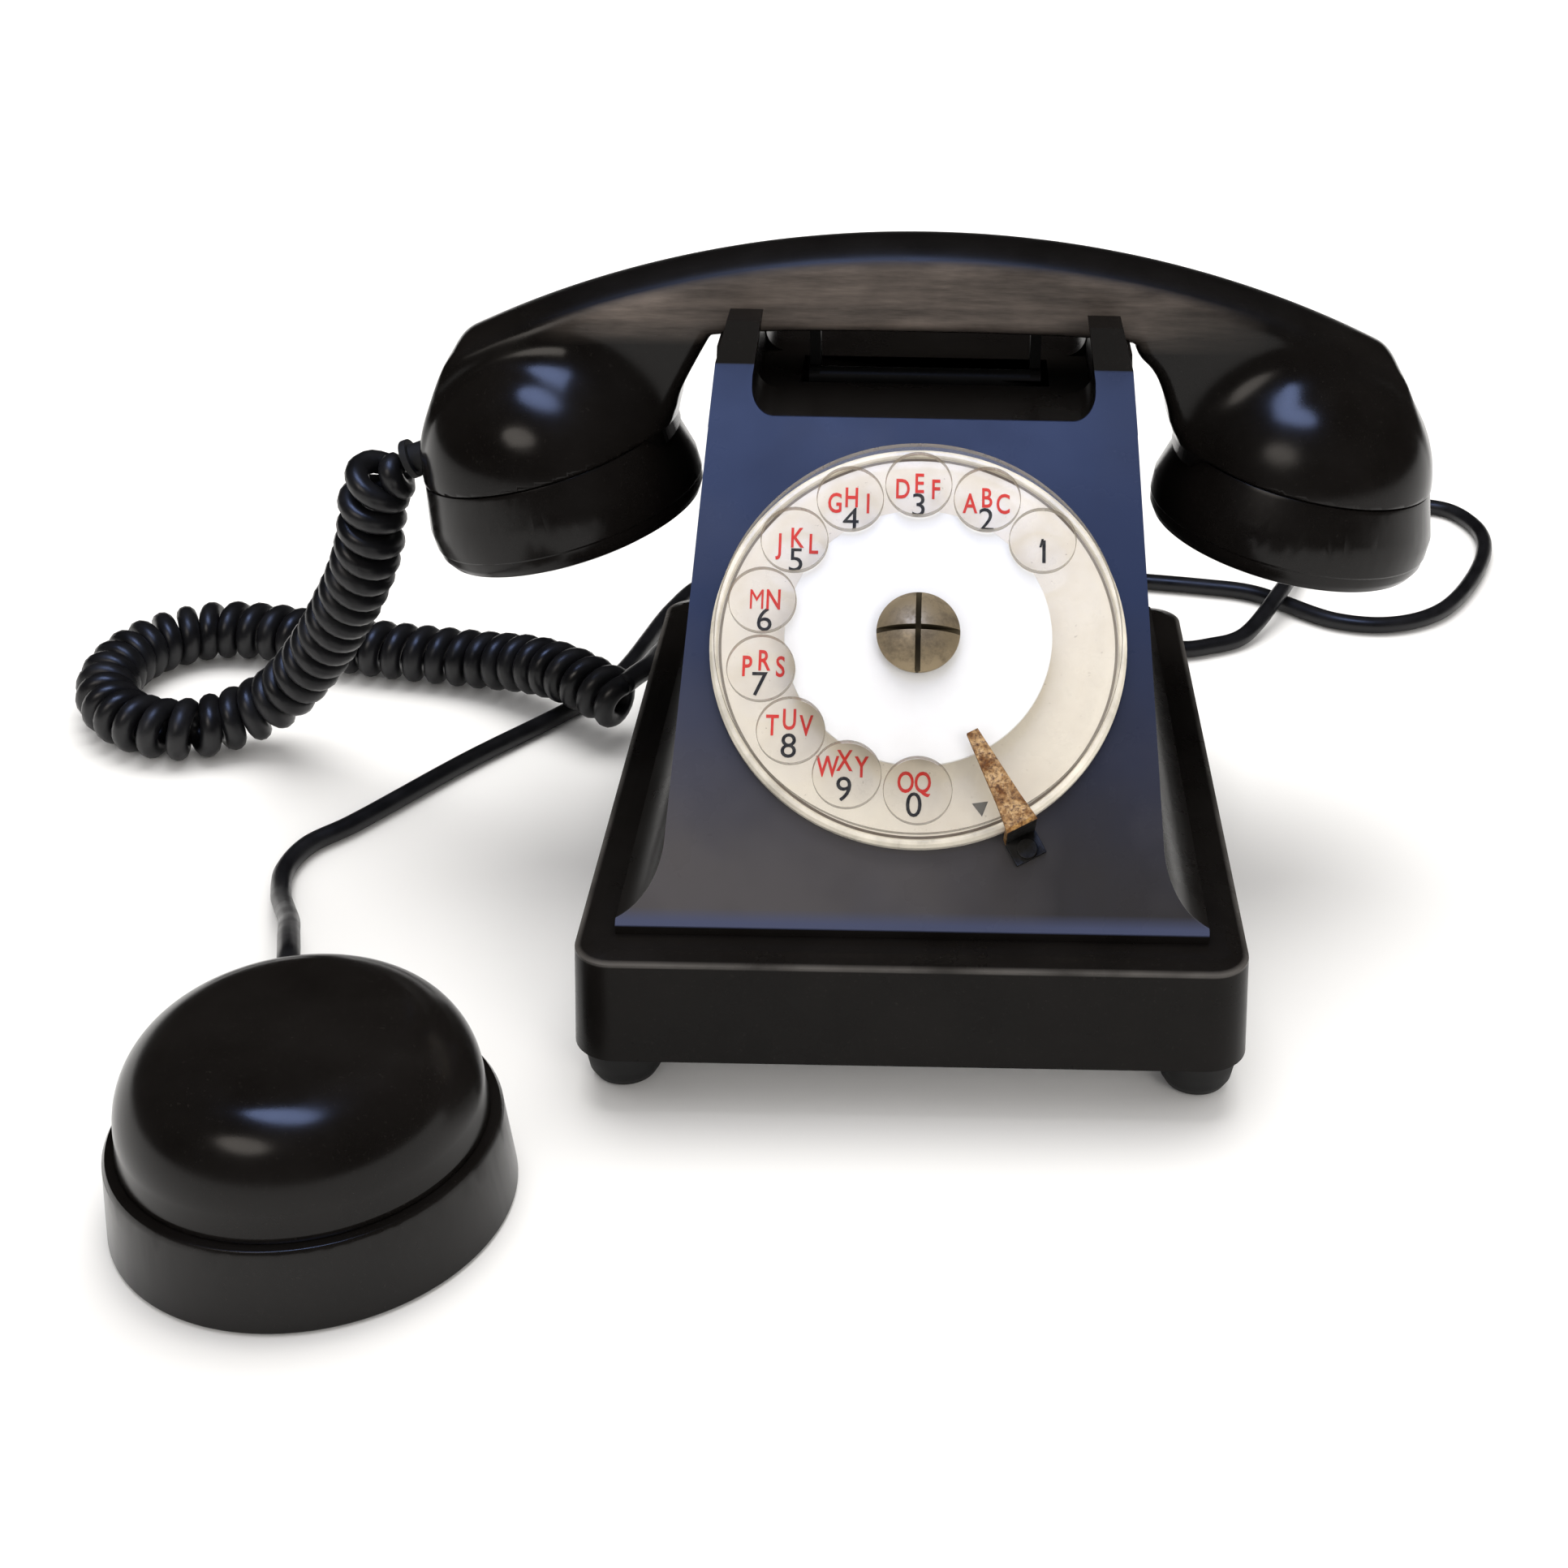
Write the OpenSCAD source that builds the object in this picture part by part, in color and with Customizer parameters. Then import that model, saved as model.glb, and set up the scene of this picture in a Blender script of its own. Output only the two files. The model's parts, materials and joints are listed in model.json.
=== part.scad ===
// Rotary desk telephone with a cradle handset and a second listening earpiece.
// Millimetres, +Z up, front towards -Y, handset along X.
// The origin is the middle of the set's footprint on the desk.

/* [Body] */
// Width of the plinth at its top edge
body_w = 136; // [132:1:140]
// Depth of the plinth at its top edge
body_d = 172; // [170:1:178]
// Height of the plinth's lower edge above the desk
plinth_z0 = 12.5; // [12:0.5:14]
// Height of the plinth's upper edge above the desk
plinth_z1 = 35.2; // [34:0.2:37]
// Wall thickness of the moulding
wall = 3.2; // [2.6:0.1:3.6]
// Slope of the front panel from the horizontal
panel_slope = 46; // [44:1:48]
// Distance of the panel's lower lip behind the plinth's front edge
lip_y = 9.5; // [8:0.5:11]

/* [Dial] */
// Distance from the panel's lip to the dial's axis along the slope
dial_s = 60; // [58:1:62]
// Radius of the finger wheel
wheel_r = 42; // [41:0.5:42.2]
// Radius of a finger hole
finger_r = 6.9; // [6.6:0.1:7.2]
// Radius of the circle that the finger holes lie on
finger_circle_r = 33; // [32.5:0.1:33.4]
// Radius of the white disc in the middle of the wheel
disc_r = 27.6; // [27:0.2:28.6]

/* [Handset] */
// Half the distance between the two cups
cup_x = 88; // [87:0.5:90]
// Radius of the seam between a cup and its cap
cup_r = 30; // [29:0.5:30.5]
// Height of the seams' middles above the desk
cup_z = 99.6; // [99:0.2:101]
// Inward lean of the mouthpiece
mouth_tilt = 15; // [12:1:16]
// Inward lean of the earpiece
ear_tilt = 10; // [8:1:14]
// Depth of the handle, front to back
handle_d = 22; // [20:1:22]

/* [Second earpiece] */
// Outer radius of its cap on the desk
listener_r = 38.5; // [36:0.5:40]
// Height of its cap
listener_cap_h = 18; // [16:1:20]
// Whole height of the earpiece
listener_h = 41.5; // [40:0.5:44]

/* [Cords] */
// Diameter of the line cord
line_d = 5; // [4.5:0.1:5.5]
// Diameter of the thin earpiece cord
thin_d = 4.8; // [4.4:0.1:5]
// Outer diameter of the curly cord
curl_d = 16.5; // [15:0.5:16.5]
// Diameter of the curly cord's own strand
strand_d = 5.6; // [5:0.1:5.8]

/* [Hidden] */

// Place of the telephone's front edge in the set's own frame
phone_x = 16.8;
phone_y = -53;

// Colours
bakelite = [0.03, 0.03, 0.035];
steel = [0.62, 0.63, 0.65];
brass = [0.72, 0.58, 0.30];
rubber = [0.06, 0.06, 0.06];

// Plinth and tower
draft = 1.2;
corner_r = 8;
ledge_z = 36.4;
lip_z = 38.5;
lip_half = 60;
floor_z = 118.7;
tower_half_top = 46.1;
tower_half_base = 52.2;
flare_r = 14;
flare_z = 52.5;
flare_x = 64.9;
rear_top_y = 147;
rear_base_y = 157;
rear_flare_y = 169;
rear_lip_y = 163.5;
floor_y = lip_y + (floor_z - lip_z) / tan(panel_slope);
horn_base_z = 127.5;
horn_top_z = 137;
horn_face_y = lip_y + (horn_base_z - lip_z) / tan(panel_slope);
saddle_z = 130;
handle_z = 130.4;
handle_y = 119;
slot_x = 28;
slot_y0 = 109.5;
slot_y1 = 128;
dial_y = lip_y + dial_s * cos(panel_slope);
dial_z = lip_z + dial_s * sin(panel_slope);
dial_hole_r = 38;
boss_places = [for (x = [7 - body_w / 2, body_w / 2 - 7], y = [34, 138]) [x, y]];
foot_places = [for (x = [8 - body_w / 2, body_w / 2 - 8], y = [12.5, body_d - 12.5]) [x, y]];
gland_x = [-36, -14, 36];
gland_z = 22;

// Dial mechanism, in the dial's own frame with the panel's face at 0
plate_z = 1;
bezel_z = 2.6;
disc_z = 6.5;
wheel_z = 7.4;
wheel_t = 2;
case_depth = 24;
case_r = 37.6;
hole_pitch = 360 / 14;
first_hole = 39.5;
stop_angle = -62;
stop_screw_r = 48.8;
gear_teeth = 40;
pinion_teeth = 10;
tooth_module = 0.9;
gear_r = gear_teeth * tooth_module / 2;
pinion_r = pinion_teeth * tooth_module / 2;
governor_x = gear_r + pinion_r;

// Hook lever
pivot_y = 102;
pivot_z = 110;

// Handset
dome_h = 26;
dome_r = (cup_r * cup_r + dome_h * dome_h) / (2 * dome_h);
ear_flare = 3.2;
mouth_flare = 2.4;
flare_drop = 11;
crest_z = 150;
crest_half = 6;
side_top_z = 147;
arc_r = 242;

// Second earpiece
cap_reach = (cup_r + ear_flare) * cos(ear_tilt) - flare_drop * sin(ear_tilt);
listener_x = listener_r - (cup_x + 0.7 + cap_reach + 2 * phone_x);
listener_y = -28.7;

// Cord routes, in the telephone's frame
curl_route = [[-122.4, 119, 93.6], [-127, 119.2, 90.2], [-130, 119.8, 83.4], [-132, 121.5, 74],
    [-137.5, 127.5, 61], [-144.5, 134, 48.5], [-153, 141, 35], [-161.5, 146.5, 23.6],
    [-170.3, 149.5, 14.6], [-181, 148, 9.4], [-193.5, 143, 8.3], [-207, 146.5, 8.3], [-218, 158, 8.3],
    [-222, 174, 8.3], [-217.5, 191, 8.3], [-204, 202, 8.3], [-187, 202, 8.3], [-158, 193.5, 8.3],
    [-124, 186, 8.8], [-108, 177.5, 11.8], [-97, 169, 13.6], [-88, 161.5, 13.4], [-79.5, 155, 12.4]];
tail_route = [[-80.5, 156.5, 16.4], [-77, 161, 17.2], [-74.2, 167.5, 16.8], [-73, 177, 15.2],
    [-67, 202, 12], [-61.5, 212, 12], [-52, 223.6, 13.6], [-45, 224.8, 15.2], [-39, 221, 17.2],
    [-36, 206, 21.5], [-36, 198, 22]];
thin_start = [listener_x + 40.8 * cos(109), listener_y + 40.8 * sin(109), 25];
thin_route = concat([thin_start], [[-129.4, 16.6, 24.6], [-133.5, 30, 20.6], [-138, 44, 14.8],
    [-143.5, 58, 8.8], [-148.5, 71, 4.4], [-151.5, 85, 2.5], [-149, 96, 2.5], [-141, 106, 2.5],
    [-119, 139, 2.5], [-94, 173, 2.5], [-86, 190, 2.5], [-76, 234, 2.5], [-69, 252, 2.5],
    [-56, 262, 3.4], [-42, 261, 9.2], [-30, 253, 14.2], [-20, 240, 16.2], [-15, 224, 18.8],
    [-14, 208, 21.5], [-14, 197, 22]]);
line_route = [[36, 201, 22], [37, 209, 20.5], [41, 216, 17], [48.5, 220, 12], [57.5, 219, 7.5],
    [66, 215, 4.4], [75, 213, 2.9], [84, 216, 2.6], [94, 222, 2.8], [108, 244, 7.9], [113, 258, 6.5],
    [120, 275, 3.4], [132, 297, 2.6], [147, 317, 2.6], [162, 327, 2.6], [175, 324, 2.6],
    [182, 308, 2.6], [179, 285, 2.6], [157, 243, 2.6], [140, 233, 2.6], [124, 235, 2.6],
    [101, 254, 2.6], [86, 258, 2.6], [44, 264, 2.6], [-6, 268.4, 2.6]];
coil_x = -10;
coil_y = 230;
coil_r = 27.5;
coil_turns_across = 3;
coil_layers = 2;

// The plug lies along a tangent of the coil's outer turn
plug_turn = -45;
plug_side = coil_r + line_d;

// ---- Shared shapes ----

// Upright rectangle with round corners, centred on x and starting at y
module round_rect(w, y0, y1, r) {
    translate([-w / 2 + r, y0]) square([w - 2 * r, y1 - y0]);
    translate([-w / 2, y0 + r]) square([w, y1 - y0 - 2 * r]);
    for (x = [-w / 2 + r, w / 2 - r], y = [y0 + r, y1 - r]) translate([x, y]) circle(r = r, $fn = 48);
}

// Extrudes an outline of x and z along y
module along_y(y0, y1) {
    translate([0, y1, 0]) rotate([90, 0, 0]) linear_extrude(y1 - y0) children();
}

// Extrudes an outline of y and z along x
module along_x(x0, x1) {
    translate([x0, 0, 0]) rotate([90, 0, 90]) linear_extrude(x1 - x0) children();
}

module phone() {
    translate([phone_x, phone_y, 0]) children();
}

module on_dial() {
    phone() translate([0, dial_y, dial_z]) rotate([panel_slope, 0, 0]) children();
}

module tube_z(z0, z1, r) {
    translate([0, 0, z0]) cylinder(h = z1 - z0, r = r, $fn = 64);
}

module ring_z(z0, z1, outer, inner) {
    difference() {
        tube_z(z0, z1, outer);
        tube_z(z0 - 1, z1 + 1, inner);
    }
}

// Round bar from one point to another
module bar(a, b, r) {
    v = b - a;
    translate(a) rotate([0, acos(v[2] / norm(v)), atan2(v[1], v[0])])
        cylinder(h = norm(v), r = r, $fn = 32);
}

// ---- Housing ----

// Plinth with drafted walls and a bevelled top edge that turns round its corners
module plinth_outer() {
    w0 = body_w / 2 + draft;
    w1 = body_w / 2;
    middle_x = w1 - corner_r;
    along_x(-middle_x, middle_x)
        polygon([[-draft, plinth_z0], [body_d + draft, plinth_z0], [body_d, plinth_z1],
            [body_d - 4, ledge_z], [4, ledge_z], [0, plinth_z1]]);
    along_y(corner_r, body_d - corner_r)
        polygon([[-w0, plinth_z0], [w0, plinth_z0], [w1, plinth_z1], [w1 - 4, ledge_z],
            [4 - w1, ledge_z], [-w1, plinth_z1]]);
    for (x = [-middle_x, middle_x], y = [corner_r, body_d - corner_r]) translate([x, y, 0])
        rotate_extrude($fn = 96)
            polygon([[0, plinth_z0], [corner_r + draft, plinth_z0], [corner_r, plinth_z1],
                [corner_r - 4, ledge_z], [0, ledge_z]]);
}

// Tower seen from the front, with concave flares at its foot
module tower_front() {
    polygon([[-tower_half_base, plinth_z1 - 1], [tower_half_base, plinth_z1 - 1],
        [tower_half_top, floor_z], [-tower_half_top, floor_z]]);
    for (s = [-1, 1]) difference() {
        polygon([[s * 48, plinth_z1 - 1], [s * lip_half, plinth_z1 - 1], [s * lip_half, flare_z],
            [s * 48, flare_z]]);
        translate([s * flare_x, flare_z]) circle(r = flare_r, $fn = 96);
    }
}

// Tower seen from the side: front panel, flat top, flared rear wall
module tower_side() {
    polygon([[lip_y, plinth_z1 - 1], [lip_y, lip_z], [floor_y, floor_z], [rear_top_y, floor_z],
        [rear_base_y, plinth_z1 - 1]]);
    difference() {
        translate([rear_base_y - 9, plinth_z1 - 1])
            square([rear_lip_y - rear_base_y + 9, flare_z - plinth_z1 + 1]);
        translate([rear_flare_y, flare_z]) circle(r = flare_r, $fn = 96);
    }
}

module tower_cavity() {
    skin = wall / sin(panel_slope);
    top = floor_z - wall;
    intersection() {
        along_y(0, body_d)
            polygon([[wall - tower_half_base, 20], [tower_half_base - wall, 20],
                [tower_half_top - wall, top], [wall - tower_half_top, top]]);
        along_x(-body_w / 2, body_w / 2)
            polygon([[lip_y + skin - 8, 20], [lip_y + skin - 3.5, 34], [lip_y + skin, lip_z],
                [floor_y + skin - wall / tan(panel_slope), top],
                [rear_top_y - wall, top], [rear_base_y - wall, 20]]);
    }
}

// Front or rear pair of horns: side outline given by y and z
module horns(side) {
    intersection() {
        along_x(-60, 60) polygon(side);
        along_y(60, 160) for (s = [-1, 1]) difference() {
            polygon([[s * 46.3, floor_z - 2], [s * 45.4, horn_base_z], [s * 42.6, horn_top_z],
                [s * 35.4, horn_top_z], [s * 37.2, horn_base_z - 2], [s * 37.2, floor_z + 5],
                [s * 32.2, floor_z], [s * 32.2, floor_z - 2]]);
            translate([s * 32.2, floor_z + 5]) circle(r = 5, $fn = 48);
        }
    }
}

// Side walls between the horns that carry the handle
module saddles() {
    along_y(horn_face_y + 4, rear_top_y - 5) for (s = [-1, 1])
        polygon([[s * 46.2, floor_z - 2], [s * 45.3, saddle_z], [s * 38.5, saddle_z],
            [s * 37.2, floor_z + 3], [s * 37.2, floor_z - 2]]);
}

module housing() {
    color(bakelite) phone() difference() {
        union() {
            plinth_outer();
            intersection() {
                along_y(0, body_d) tower_front();
                along_x(-lip_half, lip_half) tower_side();
            }
            horns([[floor_y - 2 / tan(panel_slope), floor_z - 2], [horn_face_y, horn_base_z],
                [horn_face_y, horn_top_z], [horn_face_y + 8.7, horn_top_z],
                [horn_face_y + 10, floor_z - 2]]);
            horns([[131, floor_z - 2], [132.3, horn_top_z], [141, horn_top_z],
                [rear_top_y - 0.5, floor_z - 2]]);
            saddles();
        }
        // inside of the plinth
        difference() {
            translate([0, 0, plinth_z0 - 1])
                linear_extrude(plinth_z1 - plinth_z0 - wall + 1)
                    round_rect(body_w - 2 * wall, wall, body_d - wall, corner_r - 2);
            for (p = boss_places) translate(p) tube_z(plinth_z0 + 2, plinth_z1, 4.5);
        }
        tower_cavity();
        // slot for the hook bar
        translate([-slot_x, slot_y0, floor_z - wall - 1]) cube([2 * slot_x, slot_y1 - slot_y0, wall + 2]);
        // screw holes in the bosses
        for (p = boss_places) translate(p) tube_z(plinth_z0, plinth_z1 - 3.5, 1.5);
        // cord holes in the rear wall
        for (x = gland_x) translate([x, body_d - wall - 2, gland_z]) rotate([-90, 0, 0])
            tube_z(0, wall + 5, 4);
        // dial opening and the finger stop's screw hole
        translate([0, dial_y, dial_z]) rotate([panel_slope, 0, 0]) {
            tube_z(-wall - 3, 2, dial_hole_r);
            rotate(stop_angle) translate([stop_screw_r, 0, 0]) tube_z(-wall - 2, 2, 1.3);
        }
    }
}

// ---- Base ----

module base_plate() {
    color(steel) phone() translate([0, 0, plinth_z0 + 0.6]) linear_extrude(1.3) difference() {
        round_rect(body_w - 2 * wall - 0.8, wall + 0.4, body_d - wall - 0.4, corner_r - 2.4);
        for (p = boss_places) translate(p) circle(r = 1.9, $fn = 32);
        for (p = foot_places) translate(p) circle(r = 1.6, $fn = 32);
        for (x = [-24:12:24]) translate([x - 2, 118]) square([4, 34]);
    }
}

// Rubber foot: a round body under the plinth's edge and a spigot up to the plate
module foot(i) {
    color(rubber) phone() translate(foot_places[i]) difference() {
        union() {
            rotate_extrude($fn = 64) polygon([[0, 0], [4.6, 0], [6.4, 0.9], [7.5, 2.8], [8, 5.6],
                [7.9, 8.4], [7.4, plinth_z0 - 0.8], [6.8, plinth_z0 - 0.1], [0, plinth_z0 - 0.1]]);
            tube_z(plinth_z0 - 1, plinth_z0 + 0.5, 4);
        }
        tube_z(-1, 4, 3.3);
        tube_z(-1, plinth_z0 + 2, 1.6);
    }
}

module foot_screws() {
    color(steel) phone() for (p = foot_places) translate(p) {
        tube_z(1.4, 3.9, 3);
        tube_z(3.8, plinth_z0 + 4, 1.5);
    }
}

module base_screws() {
    color(steel) phone() for (p = boss_places) translate(p) {
        tube_z(plinth_z0 - 1.4, plinth_z0 + 0.55, 3);
        tube_z(plinth_z0 + 0.5, plinth_z0 + 12, 1.4);
    }
}

// ---- Dial ----

// Dished case with a rim, a bearing boss in the middle and a boss for the governor
module dial_case() {
    floor_top = 1.2 - case_depth;
    boss_top = 9.5 - case_depth;
    bore_end = 2 - case_depth;
    color(steel) on_dial() union() {
        rotate_extrude($fn = 96)
            polygon([[0, -case_depth], [case_r, -case_depth], [case_r, 0.05], [42.2, 0.05], [42.2, plate_z],
                [case_r - 1.2, plate_z], [case_r - 1.2, floor_top], [6, floor_top], [6, boss_top],
                [3.05, boss_top], [3.05, bore_end], [0, bore_end]]);
        translate([governor_x, 0, 0]) ring_z(floor_top - 0.2, 6 - case_depth, 3.5, 1.55);
    }
}

module dial_bezel() {
    color("silver") on_dial() rotate_extrude($fn = 96)
        polygon([[42.4, 0.05], [43.5, 0.05], [43.5, bezel_z - 0.7], [42.9, bezel_z], [42.1, bezel_z],
            [41.7, bezel_z - 0.4], [42.4, bezel_z - 0.6]]);
}

module number_plate() {
    color([0.90, 0.87, 0.78]) on_dial() ring_z(plate_z + 0.03, plate_z + 0.8, 42.2, 8);
}

// Places of the ten finger holes
function hole_angle(i) = first_hole + i * hole_pitch;

module at_holes() {
    for (i = [0:9]) rotate(hole_angle(i)) translate([finger_circle_r, 0, 0]) children();
}

module finger_wheel() {
    color([0.85, 0.9, 0.92, 0.4]) on_dial() difference() {
        rotate_extrude($fn = 96) polygon([[3.1, wheel_z], [wheel_r - 1, wheel_z], [wheel_r, wheel_z + 0.8],
            [wheel_r, wheel_z + 1.3], [wheel_r - 0.8, wheel_z + wheel_t], [3.1, wheel_z + wheel_t]]);
        at_holes() tube_z(wheel_z - 1, wheel_z + 4, finger_r);
    }
}

module wheel_disc() {
    color("white") on_dial() difference() {
        ring_z(disc_z, wheel_z - 0.05, disc_r, 3.1);
        at_holes() tube_z(disc_z - 1, wheel_z + 1, finger_r + 0.1);
    }
}

module center_screw() {
    top = wheel_z + wheel_t;
    color(brass) on_dial() difference() {
        union() {
            intersection() {
                translate([0, 0, top - 7.6]) sphere(r = 12, $fn = 96);
                tube_z(top + 0.05, top + 8, 8.6);
            }
            tube_z(4, top + 0.1, 2.9);
        }
        for (a = [0, 90]) rotate(a) translate([-10, -0.55, top + 0.9]) cube([20, 1.1, 5]);
    }
}

module dial_shaft() {
    color(steel) on_dial() difference() {
        union() {
            tube_z(2.3 - case_depth, 3.1, 3);
            tube_z(3, disc_z - 0.05, 7);
        }
        tube_z(3.4, disc_z + 1, 2.95);
    }
}

// Straight-sided gear with one tooth on the x axis
module gear_outline(teeth, pitch_r, turn, bore) {
    pitch = 360 / teeth;
    difference() {
        union() {
            circle(r = pitch_r - 1, $fn = 96);
            for (i = [0:teeth - 1]) rotate(i * pitch + turn)
                polygon([[pitch_r - 1.4, -0.75], [pitch_r + 0.8, -0.3], [pitch_r + 0.8, 0.3],
                    [pitch_r - 1.4, 0.75]]);
        }
        circle(r = bore, $fn = 48);
    }
}

module drive_gear() {
    color(brass) on_dial() translate([0, 0, -8]) linear_extrude(2.6) difference() {
        gear_outline(gear_teeth, gear_r, 0, 3.02);
        for (a = [30:60:330]) rotate(a) translate([10.5, 0]) circle(r = 3.4, $fn = 32);
    }
}

module pulse_cam() {
    color(steel) on_dial() translate([0, 0, -12]) linear_extrude(2) difference() {
        union() {
            circle(r = 8, $fn = 64);
            for (i = [0:9]) rotate(i * 30) translate([8, 0]) circle(r = 1.2, $fn = 16);
        }
        circle(r = 3.02, $fn = 48);
    }
}

// Flat spiral spring round the case's bearing boss
module return_spring() {
    turns = 3;
    step = 15;
    inner = 7.2;
    outer = 12.6;
    t = 0.5;
    function spiral(a, extra) = (inner + extra + (outer - inner) * a / (360 * turns)) * [cos(a), sin(a)];
    color(steel) on_dial() translate([0, 0, -20]) linear_extrude(3)
        polygon(concat([for (a = [0:step:360 * turns]) spiral(a, 0)],
            [for (a = [360 * turns:-step:0]) spiral(a, t)]));
}

module governor_shaft() {
    color(steel) on_dial() translate([governor_x, 0, 0]) union() {
        tube_z(2.3 - case_depth, -3, 1.5);
        translate([0, 0, -8.2]) linear_extrude(3)
            gear_outline(pinion_teeth, pinion_r, 180 / pinion_teeth, 1.2);
    }
}

module governor_weights() {
    color(brass) on_dial() translate([governor_x, 0, 0]) difference() {
        union() {
            tube_z(-16, -13.5, 2.6);
            for (a = [0, 180]) rotate(a) translate([3.4, 0, 0]) tube_z(-16, -13.5, 3);
        }
        tube_z(-17, -12, 1.52);
    }
}

module governor_drum() {
    color(steel) on_dial() translate([governor_x, 0, 0]) ring_z(1.25 - case_depth, -13, 8.2, 7.3);
}

module pulse_contacts() {
    color([0.55, 0.40, 0.20]) on_dial() {
        for (i = [0:3]) translate([-30 + 3.2 * i, -8, 1.25 - case_depth]) cube([2.6, 7, 6.5]);
        for (i = [0:3]) translate([-29 + 3.2 * i, -7, 7.7 - case_depth]) cube([0.5, 16, 6]);
    }
}

module finger_stop() {
    top = wheel_z + wheel_t + 1;
    color(brass) on_dial() rotate(stop_angle) difference() {
        intersection() {
            translate([0, 3.4, 0]) rotate([90, 0, 0]) linear_extrude(6.8)
                polygon([[24, top], [44.6, top], [44.6, 0.05], [51, 0.05], [51, 1.1], [45.9, 1.1],
                    [45.9, top + 0.6], [45.2, top + 1.3], [24, top + 1.3]]);
            translate([0, 0, -1]) linear_extrude(20)
                polygon([[23.5, -1.2], [40, -2.6], [46, -3.4], [52, -3.4], [52, 3.4], [46, 3.4],
                    [40, 2.6], [23.5, 1.2]]);
        }
        translate([stop_screw_r, 0, 0]) tube_z(-1, 3, 1.3);
    }
}

module finger_stop_screw() {
    color(steel) on_dial() rotate(stop_angle) translate([stop_screw_r, 0, 0]) {
        tube_z(1.15, 2.4, 2.1);
        tube_z(-wall, 1.2, 1.2);
    }
}

// ---- Hook ----

module hook_bar() {
    color(bakelite) phone() difference() {
        union() {
            for (s = [-1, 1]) along_x(s * 25 - 1.2, s * 25 + 1.2) {
                translate([pivot_y, pivot_z]) circle(r = 3.6, $fn = 48);
                polygon([[pivot_y, 107.4], [121, 107.4], [124, 112], [124, 118], [123, handle_z - 0.3],
                    [119, handle_z - 0.3], [118, 120], [113.4, 120], [112.6, 112.6], [pivot_y, 112.6]]);
            }
            translate([-26.2, 115.4, 118]) rotate([0, 90, 0]) tube_z(0, 52.4, 2.4);
            along_x(-5, 5) polygon([[113.6, 118], [117.2, 118], [117.2, 104], [115.6, 104]]);
        }
        translate([-30, pivot_y, pivot_z]) rotate([0, 90, 0]) tube_z(0, 60, 1.55);
    }
}

module hook_bracket() {
    color(steel) phone() for (s = [-1, 1]) difference() {
        along_x(s * 30 - 1, s * 30 + 1)
            polygon([[96, floor_z - wall - 0.05], [96, 110], [99, 106], [105, 106], [108, 110],
                [108, floor_z - wall - 0.05]]);
        translate([s * 30 - 2, pivot_y, pivot_z]) rotate([0, 90, 0]) tube_z(0, 4, 1.52);
    }
}

module hook_pivot_pin() {
    color(steel) phone() translate([-32, pivot_y, pivot_z]) rotate([0, 90, 0]) tube_z(0, 64, 1.5);
}

module hook_contacts() {
    color([0.55, 0.40, 0.20]) phone() {
        translate([-8, 120, 78]) cube([16, 10, 12]);
        for (i = [0:3]) translate([-7 + 4 * i, 122, 90]) cube([2, 0.6, 12]);
        translate([-10, 130.05, 78]) cube([20, 3, 30]);
        translate([-10, 130.05, 105]) cube([20, 13, 3]);
    }
}

// ---- Ringer and circuit ----

gong_x = 27;
gong_y = 139;

module gong(s) {
    color(brass) phone() translate([s * gong_x, gong_y, 0]) rotate_extrude($fn = 96)
        polygon([[1.7, 31], [10, 31], [17, 29], [20.6, 25], [21.4, 19], [22.6, 19], [21.9, 25.6],
            [18, 30.2], [10, 32.4], [1.7, 32.4]]);
}

module gong_screws() {
    color(steel) phone() for (s = [-1, 1]) translate([s * gong_x, gong_y, 0]) {
        tube_z(32.45, 34.6, 3.4);
        tube_z(22, 32.5, 1.5);
    }
}

module ringer_frame() {
    z0 = plinth_z0 + 2;
    color(steel) phone() union() {
        translate([-17, 80, z0]) cube([34, 34, 1.6]);
        translate([-17, 80, z0 + 1.6]) cube([34, 1.8, 15]);
        translate([-31, 136, z0]) cube([62, 6, 1.6]);
        translate([-4, 112, z0]) cube([8, 25, 1.6]);
        translate([0, 112, 0]) tube_z(z0, 30, 1.5);
        for (s = [-1, 1]) translate([s * gong_x, gong_y, 0]) ring_z(z0, 30.9, 3.4, 1.6);
    }
}

module ringer_coils() {
    color([0.45, 0.15, 0.08]) phone() for (x = [-8.6, 8.6]) translate([x, 81.9, 24.4]) rotate([-90, 0, 0]) {
        tube_z(0, 24, 6.6);
        tube_z(0, 1.2, 7.6);
        tube_z(22.8, 24, 7.6);
    }
}

module clapper() {
    color(steel) phone() difference() {
        union() {
            translate([0, 112, 0]) tube_z(20, 29, 3.4);
            translate([-14, 109.8, 21]) cube([28, 2, 7]);
            bar([0, 114, 24.5], [0, gong_y - 1, 24.5], 1);
            translate([0, gong_y, 24.5]) sphere(r = 3.2, $fn = 48);
        }
        translate([0, 112, 0]) tube_z(18, 31, 1.55);
    }
}

module induction_coil() {
    color([0.35, 0.30, 0.25]) phone() union() {
        translate([-53, 46, plinth_z0 + 2]) cube([24, 32, 3]);
        translate([-50, 50, plinth_z0 + 5]) cube([18, 24, 12]);
        translate([-52, 54, plinth_z0 + 5]) cube([22, 16, 14]);
    }
}

module capacitor() {
    color([0.50, 0.50, 0.45]) phone() union() {
        translate([30, 44, plinth_z0 + 2]) cube([24, 38, 14]);
        for (y = [52, 74]) translate([42, y, 0]) tube_z(plinth_z0 + 15, plinth_z0 + 18, 2);
    }
}

module terminal_block() {
    color([0.25, 0.12, 0.06]) phone() difference() {
        translate([-36, 24, plinth_z0 + 2]) cube([72, 15, 9]);
        for (i = [0:7]) translate([-31.5 + 9 * i, 31.5, 0]) tube_z(plinth_z0 + 4, plinth_z0 + 12, 1.3);
    }
}

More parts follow.
